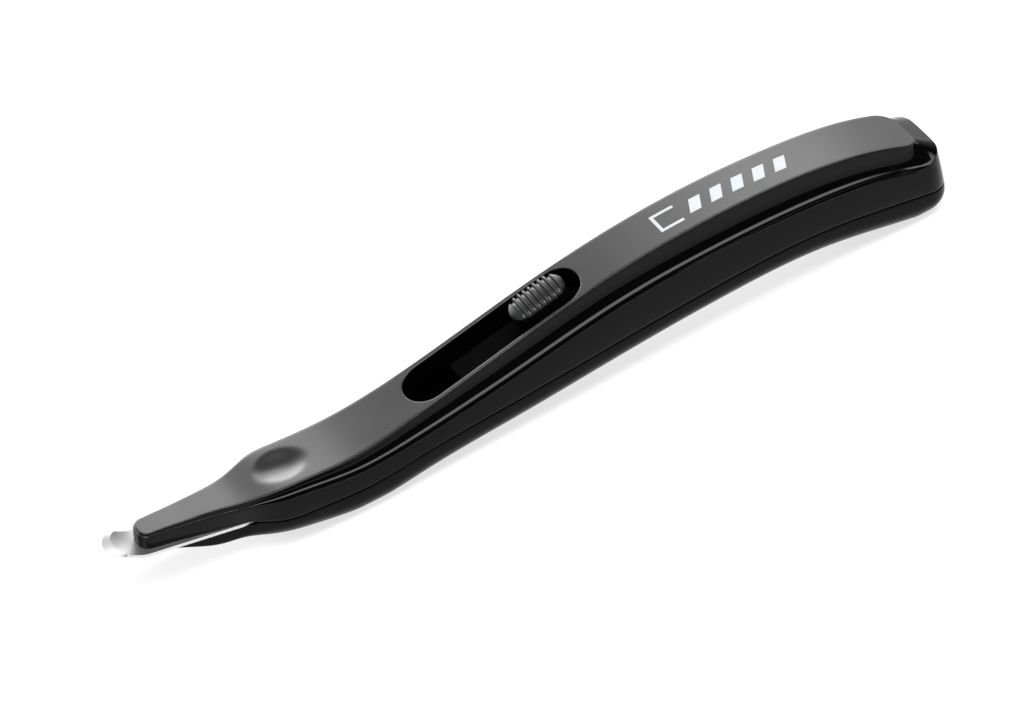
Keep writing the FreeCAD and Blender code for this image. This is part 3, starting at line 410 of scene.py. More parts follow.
def narrowed(half, by):
    return lambda x: half(x) - by


def seam_edge(x):
    """Edge radius at the seam, from the nose to the handle."""
    return lerp(NOSE_SEAM_EDGE, SEAM_EDGE, smooth(-57.0, -53.0, x))


def step_fraction(point, foot):
    """How much of the drop from the flat top to the crease is upright."""
    run = math.hypot(point.x - foot.x, point.y - foot.y)
    fall = point.z - foot.z
    spare = fall - run
    return min(0.9, 0.5 * (spare + math.sqrt(spare * spare + 0.8)) / fall)


def cove_rings(top_edge, crease_inner):
    """Flat top's edge to crease: a short upright step, then the cove, plain at the rear."""
    foot = [Vector((a.x, a.y, lerp(a.z, b.z, step_fraction(a, b))))
            for a, b in zip(top_edge, crease_inner)]
    rings = sweep(top_edge, foot, 3, straight)
    for k in range(1, COVE_STEPS + 1):
        plain = k / COVE_STEPS
        across, down = cove(plain)
        level = []
        for a, b in zip(foot, crease_inner):
            back = smooth(76.0, 79.5, b.x)
            side, fall = lerp(across, plain, back), lerp(down, plain, back)
            level.append(Vector((lerp(a.x, b.x, side), lerp(a.y, b.y, side),
                                 lerp(a.z, b.z, fall))))
        rings.append(level)
    return rings


def wall_rings(crease_outer, seam_ring):
    """Side wall from the crease to the seam, slightly swollen behind the neck."""
    wall = sweep(crease_outer, seam_ring, WALL_STEPS, straight)
    for k, level in enumerate(wall[:-1]):
        swell = WALL_SWELL * math.sin(math.pi * (k + 1) / WALL_STEPS)
        for p in level:
            if p.x > SWELL_START_X and abs(p.y) > SWELL_CLEAR_Y:
                p.y += math.copysign(swell, p.y)
    return wall


def slot_rings():
    """Rings down the slot, from its rounded edge along its walls."""
    loops = []
    for edge_step in range(5):
        turn = math.pi / 2 * edge_step / 4
        loops.append((SLOT_EDGE * (1 - math.sin(turn)), SLOT_EDGE * (1 - math.cos(turn))))
    loops += [(0.0, SLOT_EDGE + (SLOT_DEPTH - SLOT_EDGE) * (k + 1) / 5) for k in range(5)]
    rings = []
    for offset, depth in loops:
        side = []
        for station in SLOT_STATIONS:
            x, y = slot_point(station, offset)
            top = top_z(station["x"])
            if depth == 0.0:
                side.append(Vector((station["x"], y, top)))
            else:
                side.append(from_slide(x, y, to_slide_z(station["x"], top) - depth))
        rings.append(side + [Vector((p.x, -p.y, p.z)) for p in reversed(side[1:-1])])
    return rings


def make_upper_solid():
    bm = bmesh.new()
    panel = half_loop(narrowed(top_half, EDGE), REAR_TOP_X - EDGE, TOP_ROUND - ROUND_INSET,
                      NOSE_TOP_X + EDGE, TOP_NOSE_ROUND - ROUND_INSET, BULGE)
    cap(bm, panel, panel_height, TOP_STATIONS, 72.0, -71.0, 10)
    top_inner = ring(panel, panel_height)
    edge = half_loop(top_half, REAR_TOP_X, TOP_ROUND, NOSE_TOP_X, TOP_NOSE_ROUND, BULGE)
    top_edge = ring(edge, lambda x, y: top_z(x) - EDGE)
    crease = half_loop(narrowed(crease_half, CREASE_EDGE), REAR_RIM_X - CREASE_EDGE,
                       REAR_CORNER - 0.2, NOSE_CREASE_X + CREASE_EDGE,
                       CREASE_NOSE_ROUND - ROUND_INSET, BULGE)
    crease_inner = ring(crease, crease_height)
    outer = half_loop(crease_half, REAR_RIM_X, REAR_CORNER, NOSE_CREASE_X, CREASE_NOSE_ROUND,
                      BULGE)
    crease_outer = ring(outer, lambda x, y: crease_height(x, y) - CREASE_EDGE)
    seam = half_loop(seam_half, REAR_X, REAR_CORNER, NOSE_FOOT_X, NOSE_FOOT_ROUND, BULGE)
    seam_ring = ring(seam, lambda x, y: shell_bottom(x) + seam_edge(x))
    lip = half_loop(lambda x: seam_half(x) - seam_edge(x), REAR_X - SEAM_EDGE,
                    REAR_CORNER - ROUND_INSET, NOSE_FOOT_X + NOSE_SEAM_EDGE, NOSE_FOOT_ROUND,
                    BULGE)
    lip_ring = ring(lip, shell_bottom)
    rings = [top_inner] + sweep(top_inner, top_edge, 3, quarter_over)
    rings += cove_rings(top_edge, crease_inner)
    rings += sweep(crease_inner, crease_outer, 4, quarter_over)
    rings += wall_rings(crease_outer, seam_ring)
    rings += sweep(seam_ring, lip_ring, 2, quarter)
    quads_between(bm, rings)
    cap(bm, lip, shell_bottom, NO_STATIONS, 74.0, -71.0, 3)
    # the slot gets a bottom here, which the hollow opens again
    layers = quads_between(bm, slot_rings())
    bm.faces.new(layers[-1])
    close(bm)
    return to_object(bm, "upper_shell")


def hollow_ring(half, height, rear, nose):
    points = half_loop(half, rear, 2.0, nose, 1.2)
    return ring(points, lambda x, y: height(x)), points


def past_slot(x):
    """0 beside the slot, 1 well past its ends."""
    along = abs((x - SLIDE_X) / math.cos(TILT))
    return smooth(19.0, 25.0, along)


def roof_half(x):
    return lerp(5.4, top_half(x) - 1.3, past_slot(x))


def roof_z(x, y=0.0):
    """The hollow's roof: deep under the flat top beside the slot, a thin wall past it."""
    return top_z(x) - lerp(4.5, 1.9, past_slot(x))


def hollow_floor_z(x, y=0.0):
    return seam_z(x) - 1.5


def make_shell_hollow():
    bm = bmesh.new()
    roof, roof_points = hollow_ring(roof_half, roof_z, 72.0, -52.0)
    middle, _ = hollow_ring(narrowed(crease_half, 1.8), lambda x: crease_z(x) - 1.5, 73.0, -52.5)
    bottom, bottom_points = hollow_ring(narrowed(seam_half, 1.7), hollow_floor_z, 75.0, -53.0)
    quads_between(bm, [roof, middle, bottom])
    cap(bm, roof_points, roof_z, NO_STATIONS, 68.0, -50.0, 1)
    cap(bm, bottom_points, hollow_floor_z, NO_STATIONS, 70.0, -50.0, 1)
    close(bm)
    return to_object(bm, "shell_hollow")


def carve(obj, cutters, operation="DIFFERENCE"):
    """Apply booleans for good and drop the cutters."""
    for cutter in cutters:
        modifier = obj.modifiers.new("carve", "BOOLEAN")
        modifier.operation = operation
        modifier.solver = "EXACT"
        modifier.object = cutter
    depsgraph = bpy.context.evaluated_depsgraph_get()
    mesh = bpy.data.meshes.new_from_object(obj.evaluated_get(depsgraph))
    obj.modifiers.clear()
    old = obj.data
    obj.data = mesh
    mesh.name = obj.name
    bpy.data.meshes.remove(old)
    for cutter in cutters:
        bpy.data.objects.remove(cutter)
    return obj


upper = make_upper_solid()
carve(upper, [make_shell_hollow()])
soften(upper.data, SHARP_ANGLE)

# ------------------------------------------------------------- lower casing
GAP = 0.3
GROOVE = 0.6
TONGUE_X = -70.05


def rim_z(x, y=0.0):
    """Top of the lower casing's outer wall: under the blade in the nose, then the seam."""
    seam = seam_z(x) - GAP
    under_blade = blade_top(max(x, TIP_START_X)) - blade_drop(TIP_START_X)
    if x > -51.0:
        return seam
    return lerp(min(under_blade, seam), seam, smooth(-56.2, -54.9, x))


def lip_z(x, y=0.0):
    """The rim's inner step, which meets the upper casing."""
    return lerp(rim_z(x), seam_z(x) - 0.02, smooth(-55.2, -54.0, x))


def flat_half(x):
    return seam_half(x) - under_round(x)


def ground(x, y=0.0):
    """The underside, which stands flat on the table where the curve would go below it."""
    return max(0.0, under_z(x))


def make_lower_solid():
    bm = bmesh.new()
    inner_lip = half_loop(narrowed(seam_half, GROOVE), REAR_X - GROOVE, REAR_CORNER - 0.5,
                          TONGUE_X + GROOVE, 1.0, BULGE)
    groove = ring(inner_lip, rim_z)
    lip = ring(inner_lip, lip_z)
    cap(bm, inner_lip, lip_z, NO_STATIONS, 74.0, -66.0, 3)
    rim_in_points = half_loop(narrowed(seam_half, SEAM_EDGE), REAR_X - SEAM_EDGE,
                              REAR_CORNER - 0.1, TONGUE_X + SEAM_EDGE, 1.4, BULGE)
    rim_in = ring(rim_in_points, rim_z)
    rim_points = half_loop(seam_half, REAR_X, REAR_CORNER, TONGUE_X, 1.7, BULGE)
    rim = ring(rim_points, lambda x, y: rim_z(x) - SEAM_EDGE)
    rings = [lip, groove, rim_in]
    rings += sweep(rim_in, rim, 2, quarter_over)
    shoulder = ring(rim_points, lambda x, y: min(rim_z(x) - 0.3, ground(x) + under_round(x)))
    rings += sweep(rim, shoulder, 4, straight)
    flat_points = half_loop(flat_half, REAR_X - 4.0, 1.2, TONGUE_X + 0.3, 0.9, 0.2)
    flat = ring(flat_points, ground)
    rings += sweep(shoulder, flat, 12, quarter)
    quads_between(bm, rings)
    cap(bm, flat_points, ground, NO_STATIONS, 72.0, -66.0, 4)
    close(bm)
    return to_object(bm, "lower_shell")


def tray_rim_z(x, y=0.0):
    """The tray's hollow starts above the seam, so that the cut leaves no skin."""
    return seam_z(x) + 1.0


def tray_floor_z(x, y=0.0):
    return ground(x) + 1.6


def make_tray_hollow():
    bm = bmesh.new()
    top, top_points = hollow_ring(narrowed(seam_half, 1.6), tray_rim_z, 76.0, -53.0)
    low, _ = hollow_ring(narrowed(seam_half, 1.6), lambda x: under_z(x) + 4.6, 76.0, -52.0)
    base, base_points = hollow_ring(lambda x: flat_half(x) - 0.2, tray_floor_z, 72.0, -50.0)
    quads_between(bm, [top, low, base])
    cap(bm, top_points, tray_rim_z, NO_STATIONS, 72.0, -50.0, 1)
    cap(bm, base_points, tray_floor_z, NO_STATIONS, 69.0, -48.0, 1)
    close(bm)
    return to_object(bm, "tray_hollow")


def lathe(name, x, profile, segments=64):
    """A closed round solid about an upright axis; profile = (radius, height), bottom up."""
    bm = bmesh.new()
    layers = []
    for radius, height in profile:
        layers.append([bm.verts.new(Vector((x + radius * math.cos(2 * math.pi * i / segments),
                                            radius * math.sin(2 * math.pi * i / segments),
                                            height)) * MM) for i in range(segments)])
    for a, b in zip(layers[:-1], layers[1:]):
        for i in range(segments):
            j = (i + 1) % segments
            bm.faces.new((a[i], a[j], b[j], b[i]))
    bm.faces.new(list(reversed(layers[0])))
    bm.faces.new(layers[-1])
    bmesh.ops.recalc_face_normals(bm, faces=bm.faces)
    return to_object(bm, name)


# x of each screw, height of its head's seat and of the pillar's foot
SCREWS = ((-42.55, 1.9, 1.0), (59.95, 5.4, 4.0))
WELL_RADIUS, WELL_FLARE = 2.2, 0.25
PILLAR_RADIUS, PILLAR_NECK_RADIUS, SCREW_HOLE_RADIUS = 2.9, 2.4, 1.2


def make_pillar(x, seat, foot):
    """Round pillar that carries the screw's seat."""
    return lathe("pillar", x, ((PILLAR_RADIUS, foot), (PILLAR_RADIUS, seat + 0.45),
                               (PILLAR_NECK_RADIUS, seat + 0.45),
                               (PILLAR_NECK_RADIUS, seat + 3.4)))


def make_well(x, seat, foot):
    """Space for the screw: a flared well up to the seat, then the screw's hole."""
    return lathe("well", x, ((WELL_RADIUS + WELL_FLARE, -3.0), (WELL_RADIUS + WELL_FLARE, 0.0),
                             (WELL_RADIUS, foot - 0.6), (WELL_RADIUS, seat),
                             (SCREW_HOLE_RADIUS, seat), (SCREW_HOLE_RADIUS, seat + 6.0)))


lower = make_lower_solid()
carve(lower, [make_tray_hollow()])
for screw in SCREWS:
    carve(lower, [make_pillar(*screw)], "UNION")
for screw in SCREWS:
    carve(lower, [make_well(*screw)])
soften(lower.data, SHARP_ANGLE)


# ------------------------------------------------------------------- blade
TIP_ROUND, TIP_DISH = 2.5, 0.85
TIP_BEVEL, BEVEL_LENGTH = 0.42, 1.7
CORNER_LENGTH = 4.5
BLADE_ACROSS = 24
# rows behind the tip: close over the front bevel, then even steps up to the tail's end
FRONT_ROWS = (0.0, 0.15, 0.35, 0.6, 0.9, 1.2, 1.5, 1.68, 1.72, 1.9)
ROW_COUNT, ROW_STEP = 26, 0.5
TAIL_STEP, TAIL_ROWS_END = 0.6, -20.5


def blade_half(x):
    """Half width of the blade in plan, behind its rounded front corners."""
    return lerp(3.5, 4.9, smooth(-56.0, -53.5, x)) - 1.2 * smooth(-48.0, -45.0, x)


def blade_front(share):
    """How far the rounded front edge lies behind the tip, by the share of the half width."""
    return TIP_ROUND * (1.0 - (1.0 - min(1.0, abs(share)) ** 2.3) ** 0.75)


def blade_rows():
    """Distances of the cross rows behind the tip."""
    distances = list(FRONT_ROWS)
    distances += [FRONT_ROWS[-1] + ROW_STEP * i for i in range(1, ROW_COUNT + 1)]
    x = TIP_X + distances[-1]
    while x < TAIL_ROWS_END:
        x += TAIL_STEP
        distances.append(x - TIP_X)
    return distances


def blade_face(distances, shares, upper_face):
    """Grid of points on the blade's upper or lower face."""
    grid = []
    for distance in distances:
        row = []
        for share in shares:
            corner = 1.0 - smooth(0.0, CORNER_LENGTH, distance)
            x = TIP_X + distance + blade_front(share) * corner
            dish = TIP_DISH * smooth(0.5, 6.5, TIP_START_X + 1.0 - x) * (share * share)
            z = blade_top(x) + dish
            if upper_face:
                z -= TIP_BEVEL * max(0.0, 1.0 - distance / BEVEL_LENGTH)
            else:
                z -= blade_drop(x)
            row.append(Vector((x, share * blade_half(x), z)))
        grid.append(row)
    return grid


def make_blade():
    bm = bmesh.new()
    turns = [math.pi / 2 * (2 * j / BLADE_ACROSS - 1) for j in range(BLADE_ACROSS + 1)]
    shares = [math.sin(turn) for turn in turns]
    distances = blade_rows()
    top = blade_face(distances, shares, True)
    low = blade_face(distances, shares, False)
    top_verts = [[bm.verts.new(p * MM) for p in row] for row in top]
    low_verts = [[bm.verts.new(p * MM) for p in row] for row in low]
    for grid, flip in ((top_verts, False), (low_verts, True)):
        for a, b in zip(grid[:-1], grid[1:]):
            for j in range(BLADE_ACROSS):
                face = [a[j], a[j + 1], b[j + 1], b[j]]
                bm.faces.new(face[::-1] if flip else face)
    count = len(distances)
    for i in range(count - 1):
        for j in (0, BLADE_ACROSS):
            bm.faces.new((top_verts[i][j], top_verts[i + 1][j], low_verts[i + 1][j],
                          low_verts[i][j]))
    for i in (0, count - 1):
        for j in range(BLADE_ACROSS):
            bm.faces.new((top_verts[i][j], top_verts[i][j + 1], low_verts[i][j + 1],
                          low_verts[i][j]))
    bmesh.ops.remove_doubles(bm, verts=bm.verts, dist=1e-7)
    bmesh.ops.recalc_face_normals(bm, faces=bm.faces)
    obj = to_object(bm, "blade_strip", 25.0)
    bevel = obj.modifiers.new("edge", "BEVEL")
    bevel.width = 0.07 * MM
    bevel.segments = 2
    bevel.limit_method = "ANGLE"
    bevel.angle_limit = math.radians(40)
    bevel.harden_normals = True
    return obj


blade = make_blade()


# ------------------------------------------------------------ thumb button
# in the slide's frame: place and size, height of the crown's two ends, and the foot
BUTTON_X, BUTTON_HALF_LENGTH, BUTTON_HALF_WIDTH = 9.73, 5.4, 2.95
BUTTON_FRONT_CROWN, BUTTON_REAR_CROWN, BUTTON_BOTTOM = 1.85, 2.2, -3.4
# below the first of these heights the button is painted black, as shade from the slot
BUTTON_SHADE_TOP, BUTTON_SHOULDER = 0.6, -0.4
END_DROP, ARCH_HEIGHT = 1.1, 1.0
RIBS, RIB_PITCH, RIB_DEPTH = 7, 1.04, 0.62
RIB_WIDTH = 0.62
END_RUN = RIB_PITCH * 0.45
GROOVE_NARROWS_FOOT, GROOVE_NARROWS_ARCH = 0.05, 0.07
SECTIONS, SECTION_STEPS = 220, 30


def groove_share(x):
    """0 on a rib and on the smooth ends, 1 in the bottom of a groove."""
    first = -(RIBS - 1) / 2.0 * RIB_PITCH
    nearest = min(abs(x - first - i * RIB_PITCH) for i in range(RIBS))
    outermost = -first + RIB_PITCH * 0.5
    if abs(x) >= outermost + END_RUN:
        return 0.0
    if abs(x) > outermost:
        f = (abs(x) - outermost) / END_RUN
        return math.sqrt(max(0.0, 1.0 - f * f))
    half = RIB_WIDTH / 2.0
    if nearest >= half:
        return 1.0
    return 1.0 - math.sqrt(1.0 - (nearest / half) ** 2)


def make_button():
    """Rounded bar: sections across it, with half-round ribs and two smooth domed ends."""
    bm = bmesh.new()
    layers = []
    for i in range(SECTIONS + 1):
        even_x = -1 + 2 * i / SECTIONS
        x = BUTTON_HALF_LENGTH * lerp(even_x, math.sin(math.pi / 2 * even_x), 0.4)
        end = max(0.0, abs(x) - (BUTTON_HALF_LENGTH - BUTTON_HALF_WIDTH))
        round_end = math.sqrt(max(0.0, 1 - (end / BUTTON_HALF_WIDTH) ** 2))
        half = max(0.02, BUTTON_HALF_WIDTH * round_end)
        crown = lerp(BUTTON_FRONT_CROWN, BUTTON_REAR_CROWN, (x / BUTTON_HALF_LENGTH + 1) / 2)
        crown -= END_DROP * (1 - round_end ** 0.9)
        groove = groove_share(x)
        foot_y = -half * (1 - GROOVE_NARROWS_FOOT * groove)
        row = [Vector((x, foot_y, BUTTON_BOTTOM)), Vector((x, foot_y, BUTTON_SHOULDER))]
        for j in range(SECTION_STEPS + 1):
            turn = math.pi * j / SECTION_STEPS
            y = -half * math.cos(turn)
            arch = max(0.0, 1 - abs(math.cos(turn)) ** 2.6) ** 0.62
            z = crown - ARCH_HEIGHT * (1 - arch)
            row.append(Vector((x, y * (1 - GROOVE_NARROWS_ARCH * groove),
                               z - RIB_DEPTH * groove)))
        row += [Vector((p.x, -p.y, p.z)) for p in (row[1], row[0])]
        layers.append(row)
    grid = [[bm.verts.new(from_slide(BUTTON_X + p.x, p.y, p.z) * MM) for p in row]
            for row in layers]
    for a, b in zip(grid[:-1], grid[1:]):
        for j in range(len(a) - 1):
            bm.faces.new((a[j], b[j], b[j + 1], a[j + 1]))
        bm.faces.new((a[-1], b[-1], b[0], a[0]))
    bm.faces.new(grid[0])
    bm.faces.new(list(reversed(grid[-1])))
    bmesh.ops.remove_doubles(bm, verts=bm.verts, dist=1e-7)
    bmesh.ops.recalc_face_normals(bm, faces=bm.faces)
    return to_object(bm, "thumb_button", 50.0)


button = make_button()


# -------------------------------------------------------------- materials
def new_material(name):
    material = bpy.data.materials.new(name)
    material.use_nodes = True
    nodes = material.node_tree.nodes
    links = material.node_tree.links
    shader = nodes["Principled BSDF"]
    return material, nodes, links, shader


def coordinates(nodes, links, scale):
    coord = nodes.new("ShaderNodeTexCoord")
    mapping = nodes.new("ShaderNodeMapping")
    mapping.inputs["Scale"].default_value = scale
    links.new(coord.outputs["Object"], mapping.inputs["Vector"])
    return mapping.outputs["Vector"]


def noise(nodes, links, vector, scale, detail):
    node = nodes.new("ShaderNodeTexNoise")
    node.inputs["Scale"].default_value = scale
    node.inputs["Detail"].default_value = detail
    node.inputs["Roughness"].default_value = 0.6
    links.new(vector, node.inputs["Vector"])
    return node.outputs["Fac"]


def spread(nodes, links, value, low, high):
    """Stretch a noise value, which keeps mostly to its middle, over the whole range."""
    node = nodes.new("ShaderNodeMapRange")
    node.inputs["To Min"].default_value = low
    node.inputs["To Max"].default_value = high
    node.inputs["From Min"].default_value = 0.3
    node.inputs["From Max"].default_value = 0.7
    links.new(value, node.inputs["Value"])
    return node.outputs["Result"]


def tint(nodes, links, value, dark, light):
    node = nodes.new("ShaderNodeMix")
    node.data_type = "RGBA"
    node.inputs[6].default_value = (*dark, 1.0)
    node.inputs[7].default_value = (*light, 1.0)
    links.new(value, node.inputs["Factor"])
    return node.outputs[2]


def bump(nodes, links, value, strength, distance, shader):
    node = nodes.new("ShaderNodeBump")
    node.inputs["Strength"].default_value = strength
    node.inputs["Distance"].default_value = distance
    links.new(value, node.inputs["Height"])
    links.new(node.outputs["Normal"], shader.inputs["Normal"])


def plastic(name, dark, light, rough_low, rough_high, grain, grain_height, specular):
    """Moulded plastic: fine grain, faint flow mottling and uneven gloss."""
    material, nodes, links, shader = new_material(name)
    vector = coordinates(nodes, links, (1, 1, 1))
    mottle = noise(nodes, links, vector, 90.0, 4.0)
    fine = noise(nodes, links, vector, grain, 2.0)
    links.new(tint(nodes, links, mottle, dark, light), shader.inputs["Base Color"])
    links.new(spread(nodes, links, mottle, rough_low, rough_high), shader.inputs["Roughness"])
    shader.inputs["Specular IOR Level"].default_value = specular
    bump(nodes, links, fine, 0.25, grain_height, shader)
    return material


satin_top = plastic("satin_top", (0.005, 0.005, 0.0052), (0.009, 0.009, 0.0094),
                    0.30, 0.36, 5200.0, 0.00001, 0.5)
gloss_side = plastic("gloss_side", (0.0008, 0.0008, 0.0008), (0.0016, 0.0016, 0.0016),
                     0.05, 0.09, 1500.0, 0.000002, 0.13)
gloss_tray = plastic("gloss_tray", (0.0010, 0.0010, 0.0010), (0.0020, 0.0020, 0.0020),
                     0.10, 0.15, 1500.0, 0.000003, 0.09)
button_grey = plastic("button_grey", (0.014, 0.0145, 0.015), (0.022, 0.0225, 0.023),
                      0.30, 0.38, 4200.0, 0.000008, 0.26)
# black plastic for the slide carriage, and painted shade on the thumb button's skirt down in the
# slot
black_and_slot_shade = plastic("black_and_slot_shade", (0.0012, 0.0012, 0.0012), (0.0025, 0.0025, 0.0025),
                      0.50, 0.65, 2500.0, 0.00001, 0.04)


def metal(name, dark, light, rough_low, rough_high, stretch, depth):
    """Steel with fine lengthwise polishing lines and a few smudges."""
    material, nodes, links, shader = new_material(name)
    lines = noise(nodes, links, coordinates(nodes, links, stretch), 900.0, 4.0)
    smudge = noise(nodes, links, coordinates(nodes, links, (1, 1, 1)), 160.0, 3.0)
    links.new(tint(nodes, links, smudge, dark, light), shader.inputs["Base Color"])
    links.new(spread(nodes, links, smudge, rough_low, rough_high), shader.inputs["Roughness"])
    shader.inputs["Metallic"].default_value = 1.0
    bump(nodes, links, lines, 0.2, depth, shader)
    return material


# painted light: the blade's faces and its side edges get two copies of one steel, the faces
# darker and the edges lighter, set for how light falls on each
blade_steel = metal("blade_steel", (0.27, 0.27, 0.275), (0.33, 0.33, 0.33), 0.44, 0.52,
                    (0.05, 1, 1), 0.000006)
blade_edge = metal("blade_edge", (0.62, 0.62, 0.63), (0.76, 0.76, 0.77), 0.35, 0.5,
                   (1, 1, 1), 0.00001)
screw_steel = metal("screw_steel", (0.45, 0.45, 0.47), (0.6, 0.6, 0.62), 0.25, 0.4,
                    (1, 1, 1), 0.00001)
magnet_nickel = metal("magnet_nickel", (0.6, 0.59, 0.57), (0.7, 0.69, 0.67), 0.2, 0.3,
                      (1, 1, 1), 0.00001)


def paint(obj, *materials):
    obj.data.materials.clear()
    for material in materials:
        obj.data.materials.append(material)


UPWARD, PANEL_DEPTH, PANEL_SLACK = 0.8, 1.2, 0.05


def is_panel(polygon):
    """Faces of the flat top, found by where they lie."""
    centre = polygon.center / MM
    low = centre.z < top_z(centre.x) - PANEL_DEPTH
    if polygon.normal.z < UPWARD or low or centre.x > REAR_TOP_X:
        return False
    return abs(centre.y) < top_half(max(-72.0, min(75.0, centre.x))) + PANEL_SLACK


# the blade's side edges, which get the lighter copy of the steel as painted light
def is_blade_edge(polygon):
    return abs(polygon.normal.z) < 0.6


def is_slot_shaded_skirt(polygon):
    """Faces of the thumb button near and below the flat top, which get black as painted shade
    from the slot.
    """
    centre = polygon.center / MM
    return to_slide_z(centre.x, centre.z) < BUTTON_SHADE_TOP


def paint_second(obj, belongs):
    """Give the second material to the faces that belong to it."""
    for polygon in obj.data.polygons:
        if belongs(polygon):
            polygon.material_index = 1


paint(upper, gloss_side, satin_top)
paint_second(upper, is_panel)
paint(lower, gloss_tray)
# painted light: the blade's side edges get a lighter steel than its faces
paint(blade, blade_steel, blade_edge)
paint_second(blade, is_blade_edge)
# painted shade: the button's skirt, down in the slot, gets the black material
paint(button, button_grey, black_and_slot_shade)
paint_second(button, is_slot_shaded_skirt)

for node, material in (("slide_carriage", black_and_slot_shade), ("magnet", magnet_nickel),
                       ("casing_screws", screw_steel)):
    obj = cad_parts[node]
    if not obj.material_slots:
        obj.data.materials.append(material)
    for material_slot in obj.material_slots:
        material_slot.material = material

# ------------------------------------------------- printed mark on the flat top
# x from, x to, y from, y to of each pad
MARK_LIFT, MARK_SINK, MARK_STEP = 0.012, 0.05, 0.35
STAPLE = ((27.6, 28.2, -2.3, 2.3), (28.2, 32.2, 1.7, 2.3), (28.2, 32.2, -2.3, -1.7))
BARS = tuple((x, x + 2.2, -1.6, 1.6) for x in (34.4, 38.6, 42.8, 47.0, 51.2))
LEAN = 0.45


def make_mark():
    """Outline of a staple and five leaning bars: thin pads that follow the flat top."""
    bm = bmesh.new()
    for x0, x1, y0, y1 in STAPLE + BARS:
        lean = LEAN if (x0, x1, y0, y1) in BARS else 0.0
        count = max(1, round((x1 - x0) / MARK_STEP))
        loops = []
        for i in range(count + 1):
            x = lerp(x0, x1, i / count)
            loops.append([bm.verts.new(Vector((x + lean * y, y, top_z(x + lean * y) + dz)) * MM)
                          for y, dz in ((y0, MARK_LIFT), (y1, MARK_LIFT), (y1, -MARK_SINK),
                                        (y0, -MARK_SINK))])
        for a, b in zip(loops[:-1], loops[1:]):
            for k in range(4):
                bm.faces.new((a[k], a[(k + 1) % 4], b[(k + 1) % 4], b[k]))
        bm.faces.new(loops[0])
        bm.faces.new(loops[-1][::-1])
    bmesh.ops.recalc_face_normals(bm, faces=bm.faces)
    return to_object(bm, "mark")


mark = make_mark()
paint(mark, plastic("mark_print", (0.30, 0.31, 0.32), (0.38, 0.39, 0.40), 0.42, 0.55,
                    3800.0, 0.000004, 0.4))
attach(mark, "casing")

PIECES = ((upper, "casing", "upper_casing", "casing"), (lower, "casing", "lower_casing", "tray"),
          (blade, "casing", "blade", "blade"), (button, "slide", "slide_button", "button"))
for piece, body, node, slot_name in PIECES:
    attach(piece, body)
    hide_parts(node)


# ----------------------------------------------------- floor, light, camera
FLOOR_HALF, FLOOR_GREY, FLOOR_GLOW = 3.0, 0.22, 0.72


def make_floor():
    bm = bmesh.new()
    corners = [bm.verts.new((x * FLOOR_HALF, y * FLOOR_HALF, 0.0)) for x, y in
               ((-1, -1), (1, -1), (1, 1), (-1, 1))]
    bm.faces.new(corners)
    floor = to_object(bm, "floor")
    material, _, _, shader = new_material("pale_floor")
    shader.inputs["Base Color"].default_value = (FLOOR_GREY, FLOOR_GREY, FLOOR_GREY, 1)
    shader.inputs["Roughness"].default_value = 0.8
    shader.inputs["Specular IOR Level"].default_value = 0.1
    shader.inputs["Emission Color"].default_value = (1, 1, 1, 1)
    shader.inputs["Emission Strength"].default_value = FLOOR_GLOW
    paint(floor, material)


make_floor()


# strengths of the studio's parts, in the order that make_world describes them
BACKDROP, BAND, LOW_GLOW, ABOVE, HORIZON, AMBIENT = 0.5, 6.4, 7.0, 12.0, 0.15, 0.03


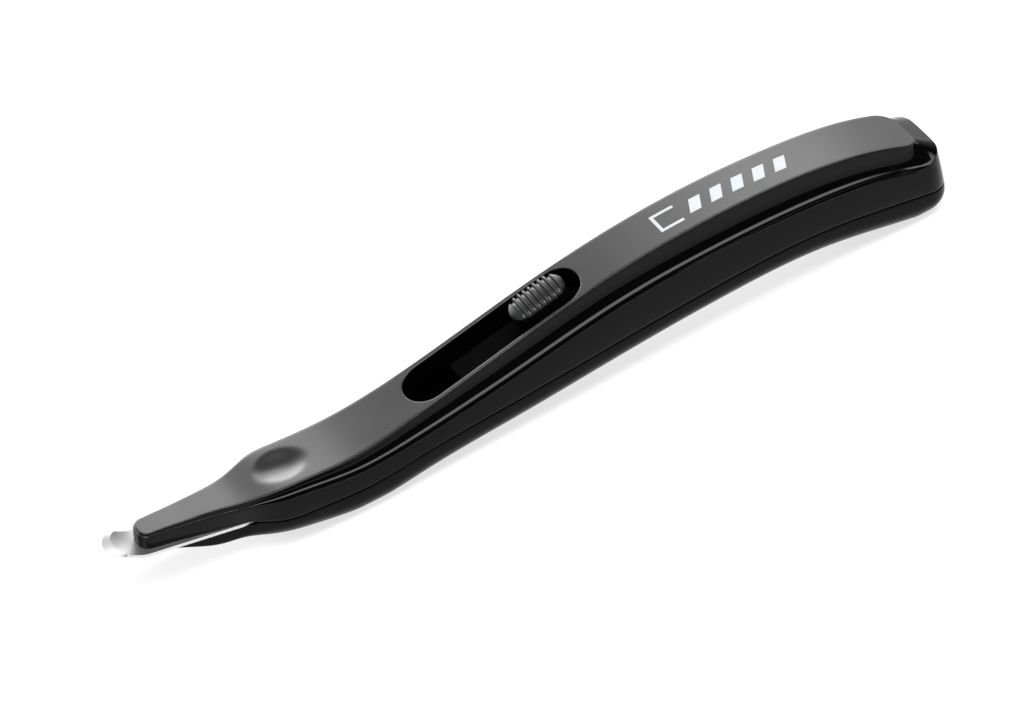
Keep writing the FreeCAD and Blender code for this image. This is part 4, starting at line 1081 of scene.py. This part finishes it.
def make_world():
    """Dark studio, lit by direction alone, with soft edges between its parts.

    The backdrop is a dim wall behind the object. The band is a bright strip in it, which the
    flat top reflects, and it fades to both sides. The low glow is brighter still, straight
    behind and near the table. Above is a narrow strip overhead, the horizon a faint light
    from low down all round, and the ambient level is there everywhere.
    """
    world = bpy.data.worlds.new("studio")
    world.use_nodes = True
    nodes = world.node_tree.nodes
    links = world.node_tree.links
    coord = nodes.new("ShaderNodeTexCoord")
    split = nodes.new("ShaderNodeSeparateXYZ")
    links.new(coord.outputs["Generated"], split.inputs[0])

    def ramp(output, low, high):
        node = nodes.new("ShaderNodeMapRange")
        node.interpolation_type = "SMOOTHSTEP"
        node.inputs["From Min"].default_value = low
        node.inputs["From Max"].default_value = high
        links.new(split.outputs[output], node.inputs["Value"])
        return node.outputs["Result"]

    def combine(operation, *values):
        node = nodes.new("ShaderNodeMath")
        node.operation = operation
        for index, value in enumerate(values):
            if isinstance(value, float):
                node.inputs[index].default_value = value
            else:
                links.new(value, node.inputs[index])
        return node.outputs[0]

    low_part = ramp("Z", 0.73, 0.64)
    backdrop = combine("MULTIPLY", ramp("Y", 0.1, 0.6), low_part)
    band = combine("MULTIPLY", ramp("Y", 0.60, 0.66), ramp("Y", 0.79, 0.73))
    band = combine("MULTIPLY", band, combine("MULTIPLY_ADD", low_part, 0.92, 0.08))
    band = combine("MULTIPLY", band, combine("MULTIPLY_ADD", ramp("X", 0.70, 0.36), 0.87, 0.13))
    band = combine("MULTIPLY", band, combine("MULTIPLY_ADD", ramp("X", 0.0, 0.42), 0.8, 0.5))
    low_glow = combine("MULTIPLY", ramp("Y", 0.74, 0.86), ramp("Z", 0.62, 0.45))
    above = combine("MULTIPLY", ramp("Y", -0.48, -0.38), ramp("Y", -0.02, -0.14))
    above = combine("MULTIPLY", above, ramp("Z", 0.6, 0.8))
    horizon = ramp("Z", 0.16, 0.02)
    level = combine("MULTIPLY_ADD", backdrop, BACKDROP, AMBIENT)
    level = combine("MULTIPLY_ADD", band, BAND, level)
    level = combine("MULTIPLY_ADD", low_glow, LOW_GLOW, level)
    level = combine("MULTIPLY_ADD", above, ABOVE, level)
    level = combine("MULTIPLY_ADD", horizon, HORIZON, level)
    nodes["Background"].inputs["Color"].default_value = (1, 1, 1, 1)
    links.new(level, nodes["Background"].inputs["Strength"])
    bpy.context.scene.world = world


make_world()
bpy.context.scene.view_settings.view_transform = "Standard"

# camera: its axes, where it aims from the slide's origin, and how far off it stands
RIGHT = Vector((0.8574, -0.4861, -0.1691))
UP = Vector((0.4455, 0.5365, 0.7168))
AIM_RIGHT, AIM_DOWN = 3.557, 3.184
DISTANCE = 0.9
LENS, SENSOR = 189.2, 36.0


def make_camera():
    forward = UP.cross(RIGHT).normalized()
    up = RIGHT.cross(forward).normalized()
    data = bpy.data.cameras.new("camera")
    data.lens = LENS
    data.sensor_width = SENSOR
    data.clip_start = 0.01
    camera = bpy.data.objects.new("camera", data)
    bpy.context.collection.objects.link(camera)
    aim = Vector((SLIDE_X, 0, SLIDE_Z)) * MM + RIGHT * AIM_RIGHT * MM - up * AIM_DOWN * MM
    turn = Matrix((RIGHT, up, -forward)).transposed().to_4x4()
    camera.matrix_world = Matrix.Translation(aim - forward * DISTANCE) @ turn
    bpy.context.scene.camera = camera


make_camera()
